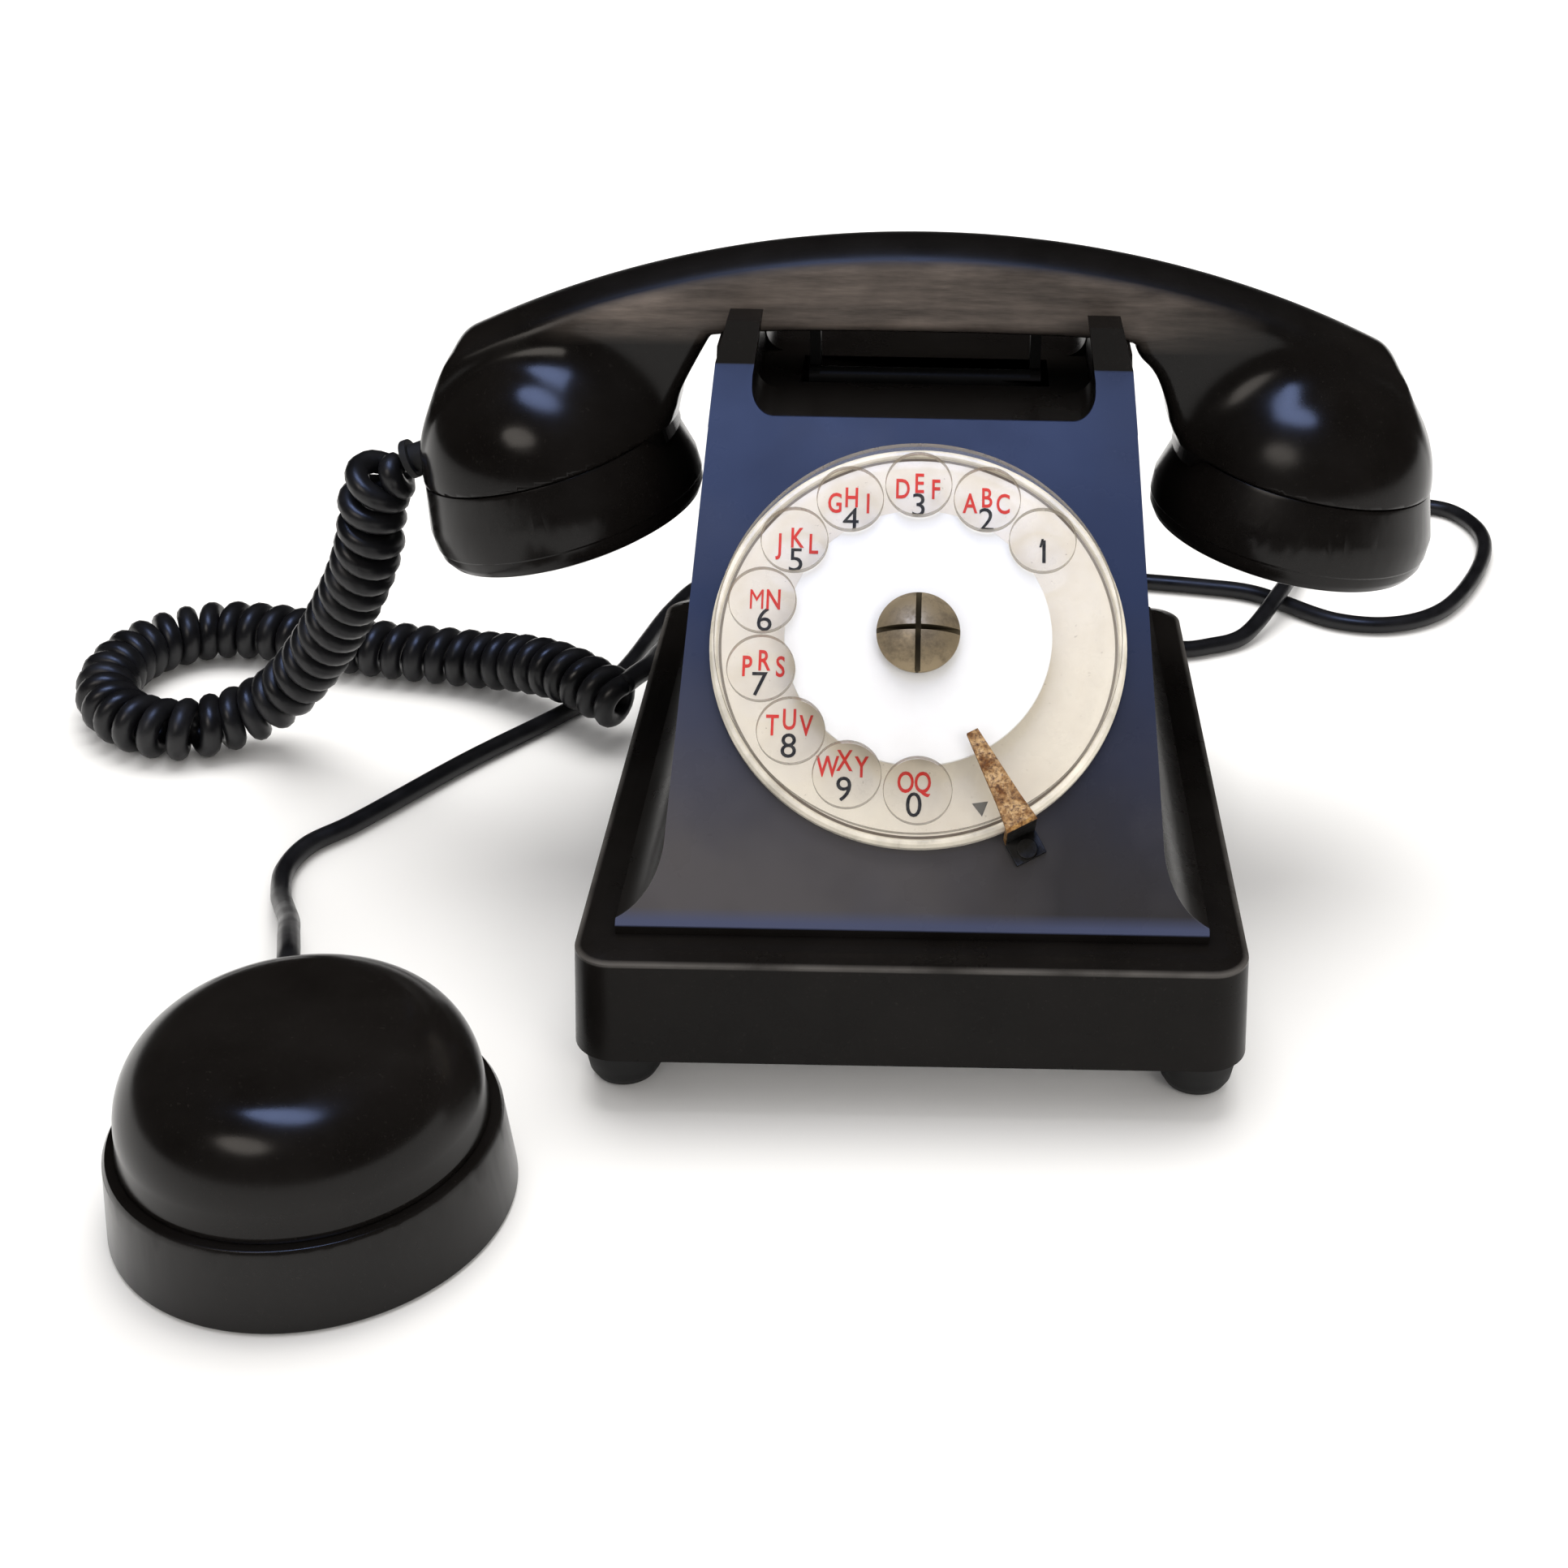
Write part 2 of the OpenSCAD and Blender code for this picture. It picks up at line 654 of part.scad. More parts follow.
module terminal_screws() {
    color(brass) phone() for (i = [0:7]) translate([-31.5 + 9 * i, 31.5, 0]) {
        tube_z(plinth_z0 + 11.05, plinth_z0 + 13.2, 2.6);
        tube_z(plinth_z0 + 5, plinth_z0 + 11.1, 1.25);
    }
}

// ---- Handset ----

// Frame of a cup: origin in the middle of the seam, z towards the handle
module at_cup(s, tilt) {
    phone() translate([s * cup_x + 0.7, handle_y, cup_z]) rotate([0, s * tilt, 0]) children();
}

// Handle from the front, under an arc whose top is at the given height
module handle_outline(top) {
    intersection() {
        translate([0.7, top - arc_r]) circle(r = arc_r, $fn = 360);
        translate([0.7, 0]) polygon([[-115, 97], [-115, 103], [-110.5, 116], [-104.5, 127], [-103, 155],
            [103, 155], [105, 127], [111, 116], [115, 104], [115, 97], [108, 101], [70, 105], [57, 107],
            [54, 117], [51.5, 122.5], [47.5, 126], [46.2, handle_z], [-46.8, handle_z], [-49.5, 126],
            [-54.5, 117], [-58, 109], [-70, 107], [-106, 98]]);
    }
}

module handset_shell() {
    color(bakelite) difference() {
        union() {
            phone() along_y(handle_y - handle_d / 2, handle_y + handle_d / 2) handle_outline(side_top_z);
            phone() along_y(handle_y - crest_half, handle_y + crest_half) handle_outline(crest_z);
            for (c = [[-1, mouth_tilt], [1, ear_tilt]]) at_cup(c[0], c[1]) {
                intersection() {
                    translate([0, 0, dome_h - dome_r]) sphere(r = dome_r, $fn = 96);
                    tube_z(0, 40, 40);
                }
                tube_z(-6, 0.1, 27);
            }
        }
        for (c = [[-1, mouth_tilt], [1, ear_tilt]]) at_cup(c[0], c[1]) tube_z(-8, 8, 25.2);
        // wire channel between the cups
        phone() translate([0.7, handle_y, side_top_z - 7 - arc_r]) rotate([-90, 0, 0]) rotate(-90 - 20)
            rotate_extrude(angle = 40, $fn = 240) translate([arc_r, 0]) circle(r = 2.2, $fn = 24);
        // hole for the cord's gland
        phone() bar(gland_a, gland_b, 3.25);
    }
}

// Screwed cap that widens by flare to its rim, with a dished face;
// rings holds the radius and count of each ring of sound holes
module cup_cap(flare, rings) {
    rim = cup_r + flare;
    difference() {
        rotate_extrude($fn = 96)
            polygon([[0, -17.6], [9, -17.9], [17, -19.4], [23, -20.4], [rim - 4.5, -20.6],
                [rim - 1.6, -19.4], [rim - 0.4, -17.4], [rim - 0.3, -15.6], [rim, -15.2],
                [rim, -flare_drop], [cup_r + 0.1, -1.2],
                [cup_r - 0.3, -0.3], [27.1, -0.3], [27.1, -8.4], [24, -8.4], [24, -15], [0, -15]]);
        tube_z(-25, -10, 1.5);
        for (k = rings, i = [0:k[1] - 1]) rotate(i * 360 / k[1]) translate([k[0], 0, 0])
            tube_z(-25, -10, 1.5);
    }
}

module earpiece_cap() {
    color(bakelite) at_cup(1, ear_tilt) cup_cap(ear_flare, [[7, 6]]);
}

module mouthpiece_cap() {
    color(bakelite) at_cup(-1, mouth_tilt) cup_cap(mouth_flare, [[6.5, 6], [13, 12]]);
}

module capsule() {
    tube_z(-8.2, -6.2, 26.6);
    tube_z(-6.3, 5, 24.9);
    tube_z(4.9, 7, 9);
}

module receiver_capsule() {
    color(steel) at_cup(1, ear_tilt) capsule();
}

module microphone_capsule() {
    color([0.55, 0.50, 0.40]) at_cup(-1, mouth_tilt) capsule();
}

// Axis of the cord's entry, from inside the cup to outside
gland_a = [-110.6, handle_y, 98.4];
gland_b = [-121.9, handle_y, 93.9];

module handset_gland() {
    v = (gland_b - gland_a) / norm(gland_b - gland_a);
    color(rubber) phone() {
        bar(gland_a + 3.9 * v, gland_b - 0.9 * v, 3.2);
        bar(gland_a + 9 * v, gland_b - 1.4 * v, 4.6);
    }
}

// ---- Second earpiece ----

module at_listener() {
    phone() translate([listener_x, listener_y, 0]) children();
}

// Outline of the shell, from the cap's rim round to the flat top
function shell_outline() = concat([[34.6, listener_cap_h + 0.3]],
    [for (a = [0:9:90]) [18 + 16 * cos(a), 23 + (listener_h - 23.8) * sin(a)]], [[0, listener_h]]);

module listener_shell() {
    color(bakelite) at_listener() difference() {
        union() {
            rotate_extrude($fn = 96) polygon(concat([[0, listener_cap_h + 0.3]], shell_outline()));
            tube_z(10, listener_cap_h + 1, 33);
        }
        rotate_extrude($fn = 96) polygon(concat([[0, 9], [30, 9], [30, 22]],
            [for (a = [0:15:90]) [18 + 12 * cos(a), 23 + (listener_h - 27) * sin(a)]],
            [[0, listener_h - 4]]));
        rotate(109) translate([26, 0, 25]) rotate([0, 90, 0]) tube_z(0, 14, 3.2);
    }
}

module listener_cap() {
    color(bakelite) at_listener() difference() {
        rotate_extrude($fn = 96)
            polygon([[9, 3.6], [17, 1.8], [24, 0], [listener_r - 0.8, 0], [listener_r, 0.8],
                [listener_r - 1.5, listener_cap_h - 1.2], [listener_r - 2.2, listener_cap_h],
                [33.1, listener_cap_h], [33.1, 9], [29, 9], [29, 6], [0, 6], [0, 3.6]]);
        tube_z(-1, 7, 1.5);
        for (i = [0:5]) rotate(i * 60) translate([7, 0, 0]) tube_z(-1, 7, 1.5);
    }
}

module listener_diaphragm() {
    color(steel) at_listener() tube_z(9.05, 9.5, 32.8);
}

module listener_capsule() {
    color([0.5, 0.5, 0.52]) at_listener() {
        tube_z(11, 14, 29.6);
        tube_z(13.9, 26, 20);
    }
}

module listener_gland() {
    color(rubber) at_listener() rotate(109) translate([0, 0, 25]) rotate([0, 90, 0]) {
        tube_z(31, 40, 3.1);
        tube_z(35, 37.6, 4);
    }
}

// ---- Cords ----

module rear_gland(i, r, length) {
    color(rubber) phone() translate([gland_x[i], body_d, gland_z]) rotate([-90, 0, 0]) {
        tube_z(-wall - 1, 1.3, 3.95);
        rotate_extrude($fn = 48)
            polygon([[0, 1.2], [5.6, 1.2], [5.6, 3.2], [4.2, 4.2], [r + 0.6, length], [0, length]]);
    }
}

function unit(v) = v / norm(v);

// Tube of one ring at each point of a route
module sweep(p, r, sides) {
    n = len(p);
    dirs = [for (i = [0:n - 1]) unit(p[min(i + 1, n - 1)] - p[max(i - 1, 0)])];
    across = [for (v = dirs) unit(cross(v, abs(v[2]) > 0.97 ? [0, 1, 0] : [0, 0, 1]))];
    points = [for (i = [0:n - 1], k = [0:sides - 1])
        let (a = (k + 0.5) * 360 / sides)
        p[i] + r * (cos(a) * across[i] + sin(a) * cross(across[i], dirs[i]))];
    ends = [[for (k = [0:sides - 1]) k], [for (k = [sides - 1:-1:0]) (n - 1) * sides + k]];
    walls = [for (i = [0:n - 2], k = [0:sides - 1]) let (m = (k + 1) % sides)
        [i * sides + k, (i + 1) * sides + k, (i + 1) * sides + m, i * sides + m]];
    polyhedron(points, concat(ends, walls), convexity = 10);
}

module curly_cord() {
    color(bakelite) phone() sweep(curl_route, curl_d / 2, 10);
}

module curly_tail() {
    color(bakelite) phone() sweep(tail_route, strand_d / 2, 8);
}

module listener_cord() {
    color(bakelite) phone() sweep(thin_route, thin_d / 2, 8);
}

module line_cord() {
    color(bakelite) phone() sweep(line_route, line_d / 2, 8);
}

module line_coil() {
    half = coil_turns_across * line_d / 2;
    color(bakelite) phone() translate([coil_x, coil_y, 0]) rotate_extrude($fn = 96)
        translate([coil_r - half, 0]) square([2 * half, coil_layers * line_d]);
}

// Frame of the plug: x is the way its pins point, from where the cord leaves the coil
module at_plug() {
    phone() translate([coil_x, coil_y, 0]) rotate(plug_turn) translate([plug_side, 0, 0]) rotate(90)
        children();
}

module line_plug() {
    color([0.12, 0.10, 0.09]) at_plug() union() {
        translate([29, -12, 0]) cube([26, 24, 17]);
        translate([29.1, 0, 8.5]) rotate([0, -90, 0]) rotate_extrude($fn = 48)
            polygon([[0, 0], [6, 0], [5, 5], [3.4, 12], [0, 12]]);
    }
}

module plug_pins() {
    color(brass) at_plug() for (y = [-6, 6], z = [5, 12]) translate([55, y - 2, z - 0.6])
        cube([11, 4, 1.2]);
}

housing();
base_plate();
foot(0);  // foot_front_left
foot(2);  // foot_front_right
foot(1);  // foot_rear_left
foot(3);  // foot_rear_right
foot_screws();
base_screws();
dial_case();
dial_bezel();
number_plate();
finger_wheel();
wheel_disc();
center_screw();
dial_shaft();
drive_gear();
pulse_cam();
return_spring();
governor_shaft();
governor_weights();
governor_drum();
pulse_contacts();
finger_stop();
finger_stop_screw();
hook_bar();
hook_bracket();
hook_pivot_pin();
hook_contacts();
gong(-1);  // gong_left
gong(1);  // gong_right
gong_screws();
ringer_frame();
ringer_coils();
clapper();
induction_coil();
capacitor();
terminal_block();
terminal_screws();
handset_shell();
earpiece_cap();
mouthpiece_cap();
receiver_capsule();
microphone_capsule();
handset_gland();
listener_shell();
listener_cap();
listener_capsule();
listener_diaphragm();
listener_gland();
rear_gland(0, strand_d / 2, 26);  // handset_cord_gland
rear_gland(1, thin_d / 2, 25);  // listener_cord_gland
rear_gland(2, line_d / 2, 29);  // line_gland
curly_cord();
curly_tail();
listener_cord();
line_cord();
line_coil();
line_plug();
plug_pins();
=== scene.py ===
import json
import math

import bmesh
import bpy
import numpy as np
from mathutils import Matrix, Vector


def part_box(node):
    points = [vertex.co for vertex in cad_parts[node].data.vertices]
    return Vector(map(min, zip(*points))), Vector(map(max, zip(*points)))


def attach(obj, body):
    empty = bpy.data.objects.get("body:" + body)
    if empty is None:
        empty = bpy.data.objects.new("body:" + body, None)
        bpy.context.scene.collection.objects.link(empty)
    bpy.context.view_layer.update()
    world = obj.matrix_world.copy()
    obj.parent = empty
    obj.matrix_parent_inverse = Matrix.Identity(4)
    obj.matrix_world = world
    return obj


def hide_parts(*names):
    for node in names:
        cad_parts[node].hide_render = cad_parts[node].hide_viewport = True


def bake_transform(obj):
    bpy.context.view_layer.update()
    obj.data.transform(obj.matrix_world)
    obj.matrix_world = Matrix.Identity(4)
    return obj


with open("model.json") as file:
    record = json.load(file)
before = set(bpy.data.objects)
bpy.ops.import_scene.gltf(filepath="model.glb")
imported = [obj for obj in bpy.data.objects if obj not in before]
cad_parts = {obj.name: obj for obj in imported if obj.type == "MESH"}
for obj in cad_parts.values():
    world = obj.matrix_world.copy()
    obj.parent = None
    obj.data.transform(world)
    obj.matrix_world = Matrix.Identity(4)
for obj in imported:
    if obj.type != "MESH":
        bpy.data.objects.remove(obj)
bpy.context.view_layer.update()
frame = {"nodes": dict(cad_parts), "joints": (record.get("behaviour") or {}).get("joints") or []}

# Rotary desk telephone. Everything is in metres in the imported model's frame;
# values written in millimetres are turned into metres by MM or by at().
# PHONE is the middle of the telephone's front edge, on the desk, and HANDLE_Y
# is how far behind it the middle of the handset lies.
MM = 0.001
NODES = frame["nodes"]
HOUSING_LOW, HOUSING_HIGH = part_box("housing")
PLINTH_DRAFT = 1.2
PHONE = Vector(((HOUSING_LOW.x + HOUSING_HIGH.x) / 2, HOUSING_LOW.y + PLINTH_DRAFT * MM, 0))
DIAL_JOINT = next(j for j in frame["joints"] if j["name"] == "dial_turn")
HANDLE_Y = 119


def at(x, y, z):
    """A point given in millimetres from the middle of the telephone's front edge."""
    return PHONE + Vector((x, y, z)) * MM


def add_object(name, data):
    """New object in the scene, round the given mesh, curve, camera or light."""
    obj = bpy.data.objects.new(name, data)
    bpy.context.scene.collection.objects.link(obj)
    return obj


# ---- Camera ----

CAMERA_PLACE = (0.0208, -0.4075, 0.2815)
CAMERA_PITCH = math.radians(28.59)
CAMERA_YAW = math.radians(0.29)
CAMERA_ROLL = math.radians(1.21)
CAMERA_LENS = 49.61
CAMERA_SHIFT = (-0.1030, -0.0301)


def make_camera():
    ahead = Vector((math.sin(CAMERA_YAW) * math.cos(CAMERA_PITCH),
                    math.cos(CAMERA_YAW) * math.cos(CAMERA_PITCH), -math.sin(CAMERA_PITCH)))
    right = Vector((math.cos(CAMERA_YAW), -math.sin(CAMERA_YAW), 0))
    up = right.cross(ahead)
    cos_roll, sin_roll = math.cos(CAMERA_ROLL), math.sin(CAMERA_ROLL)
    rolled_right = right * cos_roll + up * sin_roll
    rolled_up = up * cos_roll - right * sin_roll
    data = bpy.data.cameras.new("camera")
    data.lens = CAMERA_LENS
    data.sensor_width = 36
    data.shift_x, data.shift_y = CAMERA_SHIFT
    data.clip_start = 0.01
    camera = add_object("camera", data)
    turn = Matrix((rolled_right, rolled_up, -ahead)).transposed().to_4x4()
    camera.matrix_world = Matrix.Translation(CAMERA_PLACE) @ turn
    bpy.context.scene.camera = camera


make_camera()


# ---- Mesh helpers ----

CURVE_STEPS = 24
TUBE_END_SHARE = 0.6
TUBE_END_PUSH = 0.25
WELD_REACH = 1e-6
FLAT_ANGLE = math.radians(0.3)
BEVEL_ANGLE = math.radians(30)
BEVEL_SEGMENTS = 3


def ring_faces(low, high, sides):
    """Quads that join two rings of vertices, given each ring's first vertex."""
    return [(low + k, low + (k + 1) % sides, high + (k + 1) % sides, high + k) for k in range(sides)]


def new_object(name, vertices, faces):
    mesh = bpy.data.meshes.new(name)
    mesh.from_pydata([tuple(v) for v in vertices], [], faces)
    mesh.update()
    mesh.shade_smooth()
    return add_object(name, mesh)


def final_mesh(obj):
    """The mesh that an object's curve, text or modifiers give. The object itself goes."""
    mesh = bpy.data.meshes.new_from_object(obj.evaluated_get(bpy.context.evaluated_depsgraph_get()))
    bpy.data.objects.remove(obj)
    return mesh


def curve_through(points, step):
    """Evenly spaced points along a smooth centripetal curve through the given points."""
    pts = [Vector(p) for p in points]
    pts = [2 * pts[0] - pts[1], *pts, 2 * pts[-1] - pts[-2]]
    fine = []
    for a, b, c, d in zip(pts, pts[1:], pts[2:], pts[3:]):
        t0 = 0.0
        t1 = t0 + math.sqrt((b - a).length)
        t2 = t1 + math.sqrt((c - b).length)
        t3 = t2 + math.sqrt((d - c).length)
        for i in range(CURVE_STEPS):
            t = t1 + (t2 - t1) * i / CURVE_STEPS
            ab = a.lerp(b, (t - t0) / (t1 - t0))
            bc = b.lerp(c, (t - t1) / (t2 - t1))
            cd = c.lerp(d, (t - t2) / (t3 - t2))
            abc = ab.lerp(bc, (t - t0) / (t2 - t0))
            bcd = bc.lerp(cd, (t - t1) / (t3 - t1))
            fine.append(abc.lerp(bcd, (t - t1) / (t2 - t1)))
    fine.append(pts[-2])
    return evenly(fine, step)


def evenly(points, step):
    """The same line with its points a step apart."""
    lengths = [0.0]
    for a, b in zip(points, points[1:]):
        lengths.append(lengths[-1] + (b - a).length)
    count = max(2, round(lengths[-1] / step))
    spaced, i = [], 0
    for n in range(count + 1):
        want = lengths[-1] * n / count
        while i < len(points) - 2 and lengths[i + 1] < want:
            i += 1
        share = (want - lengths[i]) / max(1e-12, lengths[i + 1] - lengths[i])
        spaced.append(points[i].lerp(points[i + 1], min(1.0, max(0.0, share))))
    return spaced


def line_length(points):
    return sum((b - a).length for a, b in zip(points, points[1:]))


def travelling_frames(points):
    """Direction and two crosswise unit vectors at each point, without twist."""
    frames = []
    side = None
    for i in range(len(points)):
        ahead = (points[min(i + 1, len(points) - 1)] - points[max(i - 1, 0)]).normalized()
        if side is None:
            side = ahead.orthogonal().normalized()
        side = (side - ahead * side.dot(ahead)).normalized()
        frames.append((ahead, side, ahead.cross(side)))
    return frames


def tube(name, points, radius, sides):
    """Closed round tube along the points, with its ends slightly rounded."""
    vertices, faces = [], []
    frames = travelling_frames(points)
    last = len(points) - 1
    rings = [(i, 1.0, 0.0) for i in range(len(points))]
    rings = [(0, TUBE_END_SHARE, -TUBE_END_PUSH), *rings, (last, TUBE_END_SHARE, TUBE_END_PUSH)]
    for i, share, push in rings:
        ahead, side, other = frames[i]
        for k in range(sides):
            turn = 2 * math.pi * k / sides
            around = side * math.cos(turn) + other * math.sin(turn)
            vertices.append(points[i] + around * radius * share + ahead * radius * push)
    for r in range(len(rings) - 1):
        faces += ring_faces(r * sides, (r + 1) * sides, sides)
    faces.append(tuple(reversed(range(sides))))
    faces.append(tuple((len(rings) - 1) * sides + k for k in range(sides)))
    return new_object(name, vertices, faces)


def lathe(name, profile, place, segments=160):
    """Surface of revolution about z from (radius, height) pairs in millimetres."""
    vertices, faces = [], []
    for radius, height in profile:
        for k in range(segments):
            turn = 2 * math.pi * k / segments
            vertices.append(place @ Vector((radius * math.cos(turn), radius * math.sin(turn), height)))
    for r in range(len(profile) - 1):
        faces += ring_faces(r * segments, (r + 1) * segments, segments)
    obj = new_object(name, vertices, faces)
    clean(obj)
    return obj


def clean(obj):
    """Merges doubled points, closes open ends and turns the faces outwards."""
    shape = bmesh.new()
    shape.from_mesh(obj.data)
    bmesh.ops.remove_doubles(shape, verts=shape.verts, dist=1e-7)
    bmesh.ops.holes_fill(shape, edges=shape.edges, sides=0)
    bmesh.ops.recalc_face_normals(shape, faces=shape.faces)
    shape.to_mesh(obj.data)
    shape.free()


def add_bevel(obj, width):
    """Rounds the edges and keeps the flat faces shaded flat."""
    bevel = obj.modifiers.new("bevel", "BEVEL")
    bevel.width = width * MM
    bevel.segments = BEVEL_SEGMENTS
    bevel.limit_method = "ANGLE"
    bevel.angle_limit = BEVEL_ANGLE
    bevel.miter_outer = "MITER_ARC"
    bevel.harden_normals = True
    normals = obj.modifiers.new("normals", "WEIGHTED_NORMAL")
    normals.keep_sharp = True
    normals.weight = 90


def refine(node, material, bevel):
    """Gives a CAD node its material and softens its edges."""
    obj = NODES[node]
    obj.data.materials.clear()
    obj.data.materials.append(material)
    for name in ("custom_normal", "sharp_edge"):
        if name in obj.data.attributes:
            obj.data.attributes.remove(obj.data.attributes[name])
    obj.data.shade_smooth()
    weld = obj.modifiers.new("weld", "WELD")
    weld.merge_threshold = WELD_REACH
    flat = obj.modifiers.new("flat", "DECIMATE")
    flat.decimate_type = "DISSOLVE"
    flat.angle_limit = FLAT_ANGLE
    add_bevel(obj, bevel)


def dress(obj, material):
    """Gives a new piece its material."""
    obj.data.materials.clear()
    obj.data.materials.append(material)


# ---- Cords ----

CURLY_DIAMETER = 16.5
STRAND_DIAMETER = 5.6
STRAND_PITCH = 6.5
STRAND_SAMPLES = 22
STRAND_SIDES = 12
# Where the strand leaves the gland, and where it has its full width round the axis
STRAND_OPENING = (0.5, 4.2)
THIN_DIAMETER = 4.8
LINE_DIAMETER = 5.0
# Taken off the line cord's radius, so that its turns lie clear of each other
TURN_GAP = 0.04
CORD_SIDES = 16
CORD_STEP = 1.5
AXIS_STEP = 0.5

CURLY_ROUTE = [(-122.4, 119, 93.6), (-127, 119.2, 90.2), (-130, 119.8, 83.4), (-132, 121.5, 74),
               (-137.5, 127.5, 61), (-144.5, 134, 48.5), (-153, 141, 35), (-161.5, 146.5, 23.6),
               (-170.3, 149.5, 14.6), (-181, 148, 9.4), (-193.5, 143, 8.3), (-207, 146.5, 8.3),
               (-218, 158, 8.3), (-222, 174, 8.3), (-217.5, 191, 8.3), (-204, 202, 8.3),
               (-187, 202, 8.3), (-158, 193.5, 8.3), (-124, 186, 8.8), (-108, 177.5, 11.8),
               (-97, 169, 13.6), (-88, 161.5, 13.4), (-79.5, 155, 12.4)]
TAIL_ROUTE = [(-77, 161, 17.2), (-74.2, 167.5, 16.8), (-73, 177, 15.2), (-67, 202, 12),
              (-61.5, 212, 12), (-52, 223.6, 13.6), (-45, 224.8, 15.2), (-39, 221, 17.2),
              (-36, 206, 21.5), (-36, 198, 22)]
THIN_ROUTE = [(-129.4, 16.6, 24.6), (-133.5, 30, 20.6), (-138, 44, 14.8), (-143.5, 58, 8.8),
              (-148.5, 71, 4.4), (-151.5, 85, 2.5), (-149, 96, 2.5), (-141, 106, 2.5),
              (-119, 139, 2.5), (-94, 173, 2.5), (-86, 190, 2.5), (-76, 234, 2.5), (-69, 252, 2.5),
              (-56, 262, 3.4), (-42, 261, 9.2), (-30, 253, 14.2), (-20, 240, 16.2),
              (-15, 224, 18.8), (-14, 208, 21.5), (-14, 197, 22)]
LINE_ROUTE = [(36, 201, 22), (37, 209, 20.5), (41, 216, 17), (48.5, 220, 12), (57.5, 219, 7.5),
              (66, 215, 4.4), (75, 213, 2.9), (84, 216, 2.6), (94, 222, 2.8), (108, 244, 7.9),
              (113, 258, 6.5), (120, 275, 3.4), (132, 297, 2.6), (147, 317, 2.6), (162, 327, 2.6),
              (175, 324, 2.6), (182, 308, 2.6), (179, 285, 2.6), (157, 243, 2.6), (140, 233, 2.6),
              (124, 235, 2.6), (101, 254, 2.6), (86, 258, 2.6), (44, 264, 2.6), (-6, 268.4, 2.6)]
COIL_CENTRE = (-10, 230)
COIL_RADII = (32.5, 27.5, 22.5)
COIL_LEVELS = (2.6, 7.6)
# The coil's angles in degrees: its ends, and the stretches in which it changes place
COIL_ANGLES = (90, 2116, 6)
COIL_ENTRY = (84, 144)
COIL_ENTRY_RADIUS = 38.4
COIL_CLIMB = (1089, 1164)
COIL_CROSSING = 60
PLUG_TURN = -45
PLUG_RISES = ((6, 0.2), (12, 0.7), (19, 0.9))


def ramp(value, start, end, low, high):
    """Smooth step from low to high as the value goes from start to end."""
    t = min(1.0, max(0.0, (value - start) / (end - start)))
    return low + (high - low) * t * t * (3 - 2 * t)


def coil_points():
    """Turns of the line cord's coil: inwards on the desk, then outwards on top of them."""
    outer, middle, inner = COIL_RADII
    points = []
    crossings = ((444, middle - outer), (804, inner - middle), (1389, middle - inner),
                 (1749, outer - middle))
    for angle in range(*COIL_ANGLES):
        radius = ramp(angle, *COIL_ENTRY, COIL_ENTRY_RADIUS, outer)
        for start, change in crossings:
            radius += ramp(angle, start, start + COIL_CROSSING, 0, change)
        height = ramp(angle, *COIL_CLIMB, *COIL_LEVELS)
        turn = math.radians(angle)
        points.append((COIL_CENTRE[0] + radius * math.cos(turn),
                       COIL_CENTRE[1] + radius * math.sin(turn), height))
    return points


def plug_points():
    """Straight stretch along the coil's tangent into the plug's sleeve."""
    turn = math.radians(PLUG_TURN)
    start = Vector((COIL_CENTRE[0] + COIL_RADII[0] * math.cos(turn),
                    COIL_CENTRE[1] + COIL_RADII[0] * math.sin(turn), COIL_LEVELS[1]))
    ahead = Vector((-math.sin(turn), math.cos(turn), 0))
    return [tuple(start + ahead * s + Vector((0, 0, rise))) for s, rise in PLUG_RISES]


def make_curly_cord():
    """The helix of the curly cord, with its axis, its last point and the axis's length."""
    axis = curve_through([at(*p) for p in CURLY_ROUTE], AXIS_STEP * MM)
    frames = travelling_frames(axis)
    total = line_length(axis)
    reach = (CURLY_DIAMETER - STRAND_DIAMETER) / 2 * MM
    _, side, other = frames[-1]
    end_turn = math.atan2(other.z, side.z)
    strand = []
    samples = int(total / (STRAND_PITCH * MM) * STRAND_SAMPLES)
    opening = [s * MM for s in STRAND_OPENING]
    for n in range(samples + 1):
        along = total * n / samples
        i = min(len(axis) - 1, round(along / total * (len(axis) - 1)))
        ahead, side, other = frames[i]
        turn = end_turn + 2 * math.pi * (total - along) / (STRAND_PITCH * MM)
        widen = ramp(along, *opening, 0.05, 1)
        base = axis[i] + ahead * (along - total * i / (len(axis) - 1))
        strand.append(base + (side * math.cos(turn) + other * math.sin(turn)) * reach * widen)
    cord = tube("curly_cord_strand", strand, STRAND_DIAMETER / 2 * MM, STRAND_SIDES)
    return cord, axis, strand[-1], total


curly, curly_axis, curly_end, curly_length = make_curly_cord()
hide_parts("curly_cord")
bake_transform(curly)

tail_path = curve_through([curly_end] + [at(*p) for p in TAIL_ROUTE], CORD_STEP * MM)
tail = tube("curly_cord_tail", tail_path, STRAND_DIAMETER / 2 * MM, CORD_SIDES)
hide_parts("curly_tail")
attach(tail, "base")

listener_low, listener_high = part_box("listener_cap")
LISTENER = Vector(((listener_low.x + listener_high.x) / 2, (listener_low.y + listener_high.y) / 2, 0))
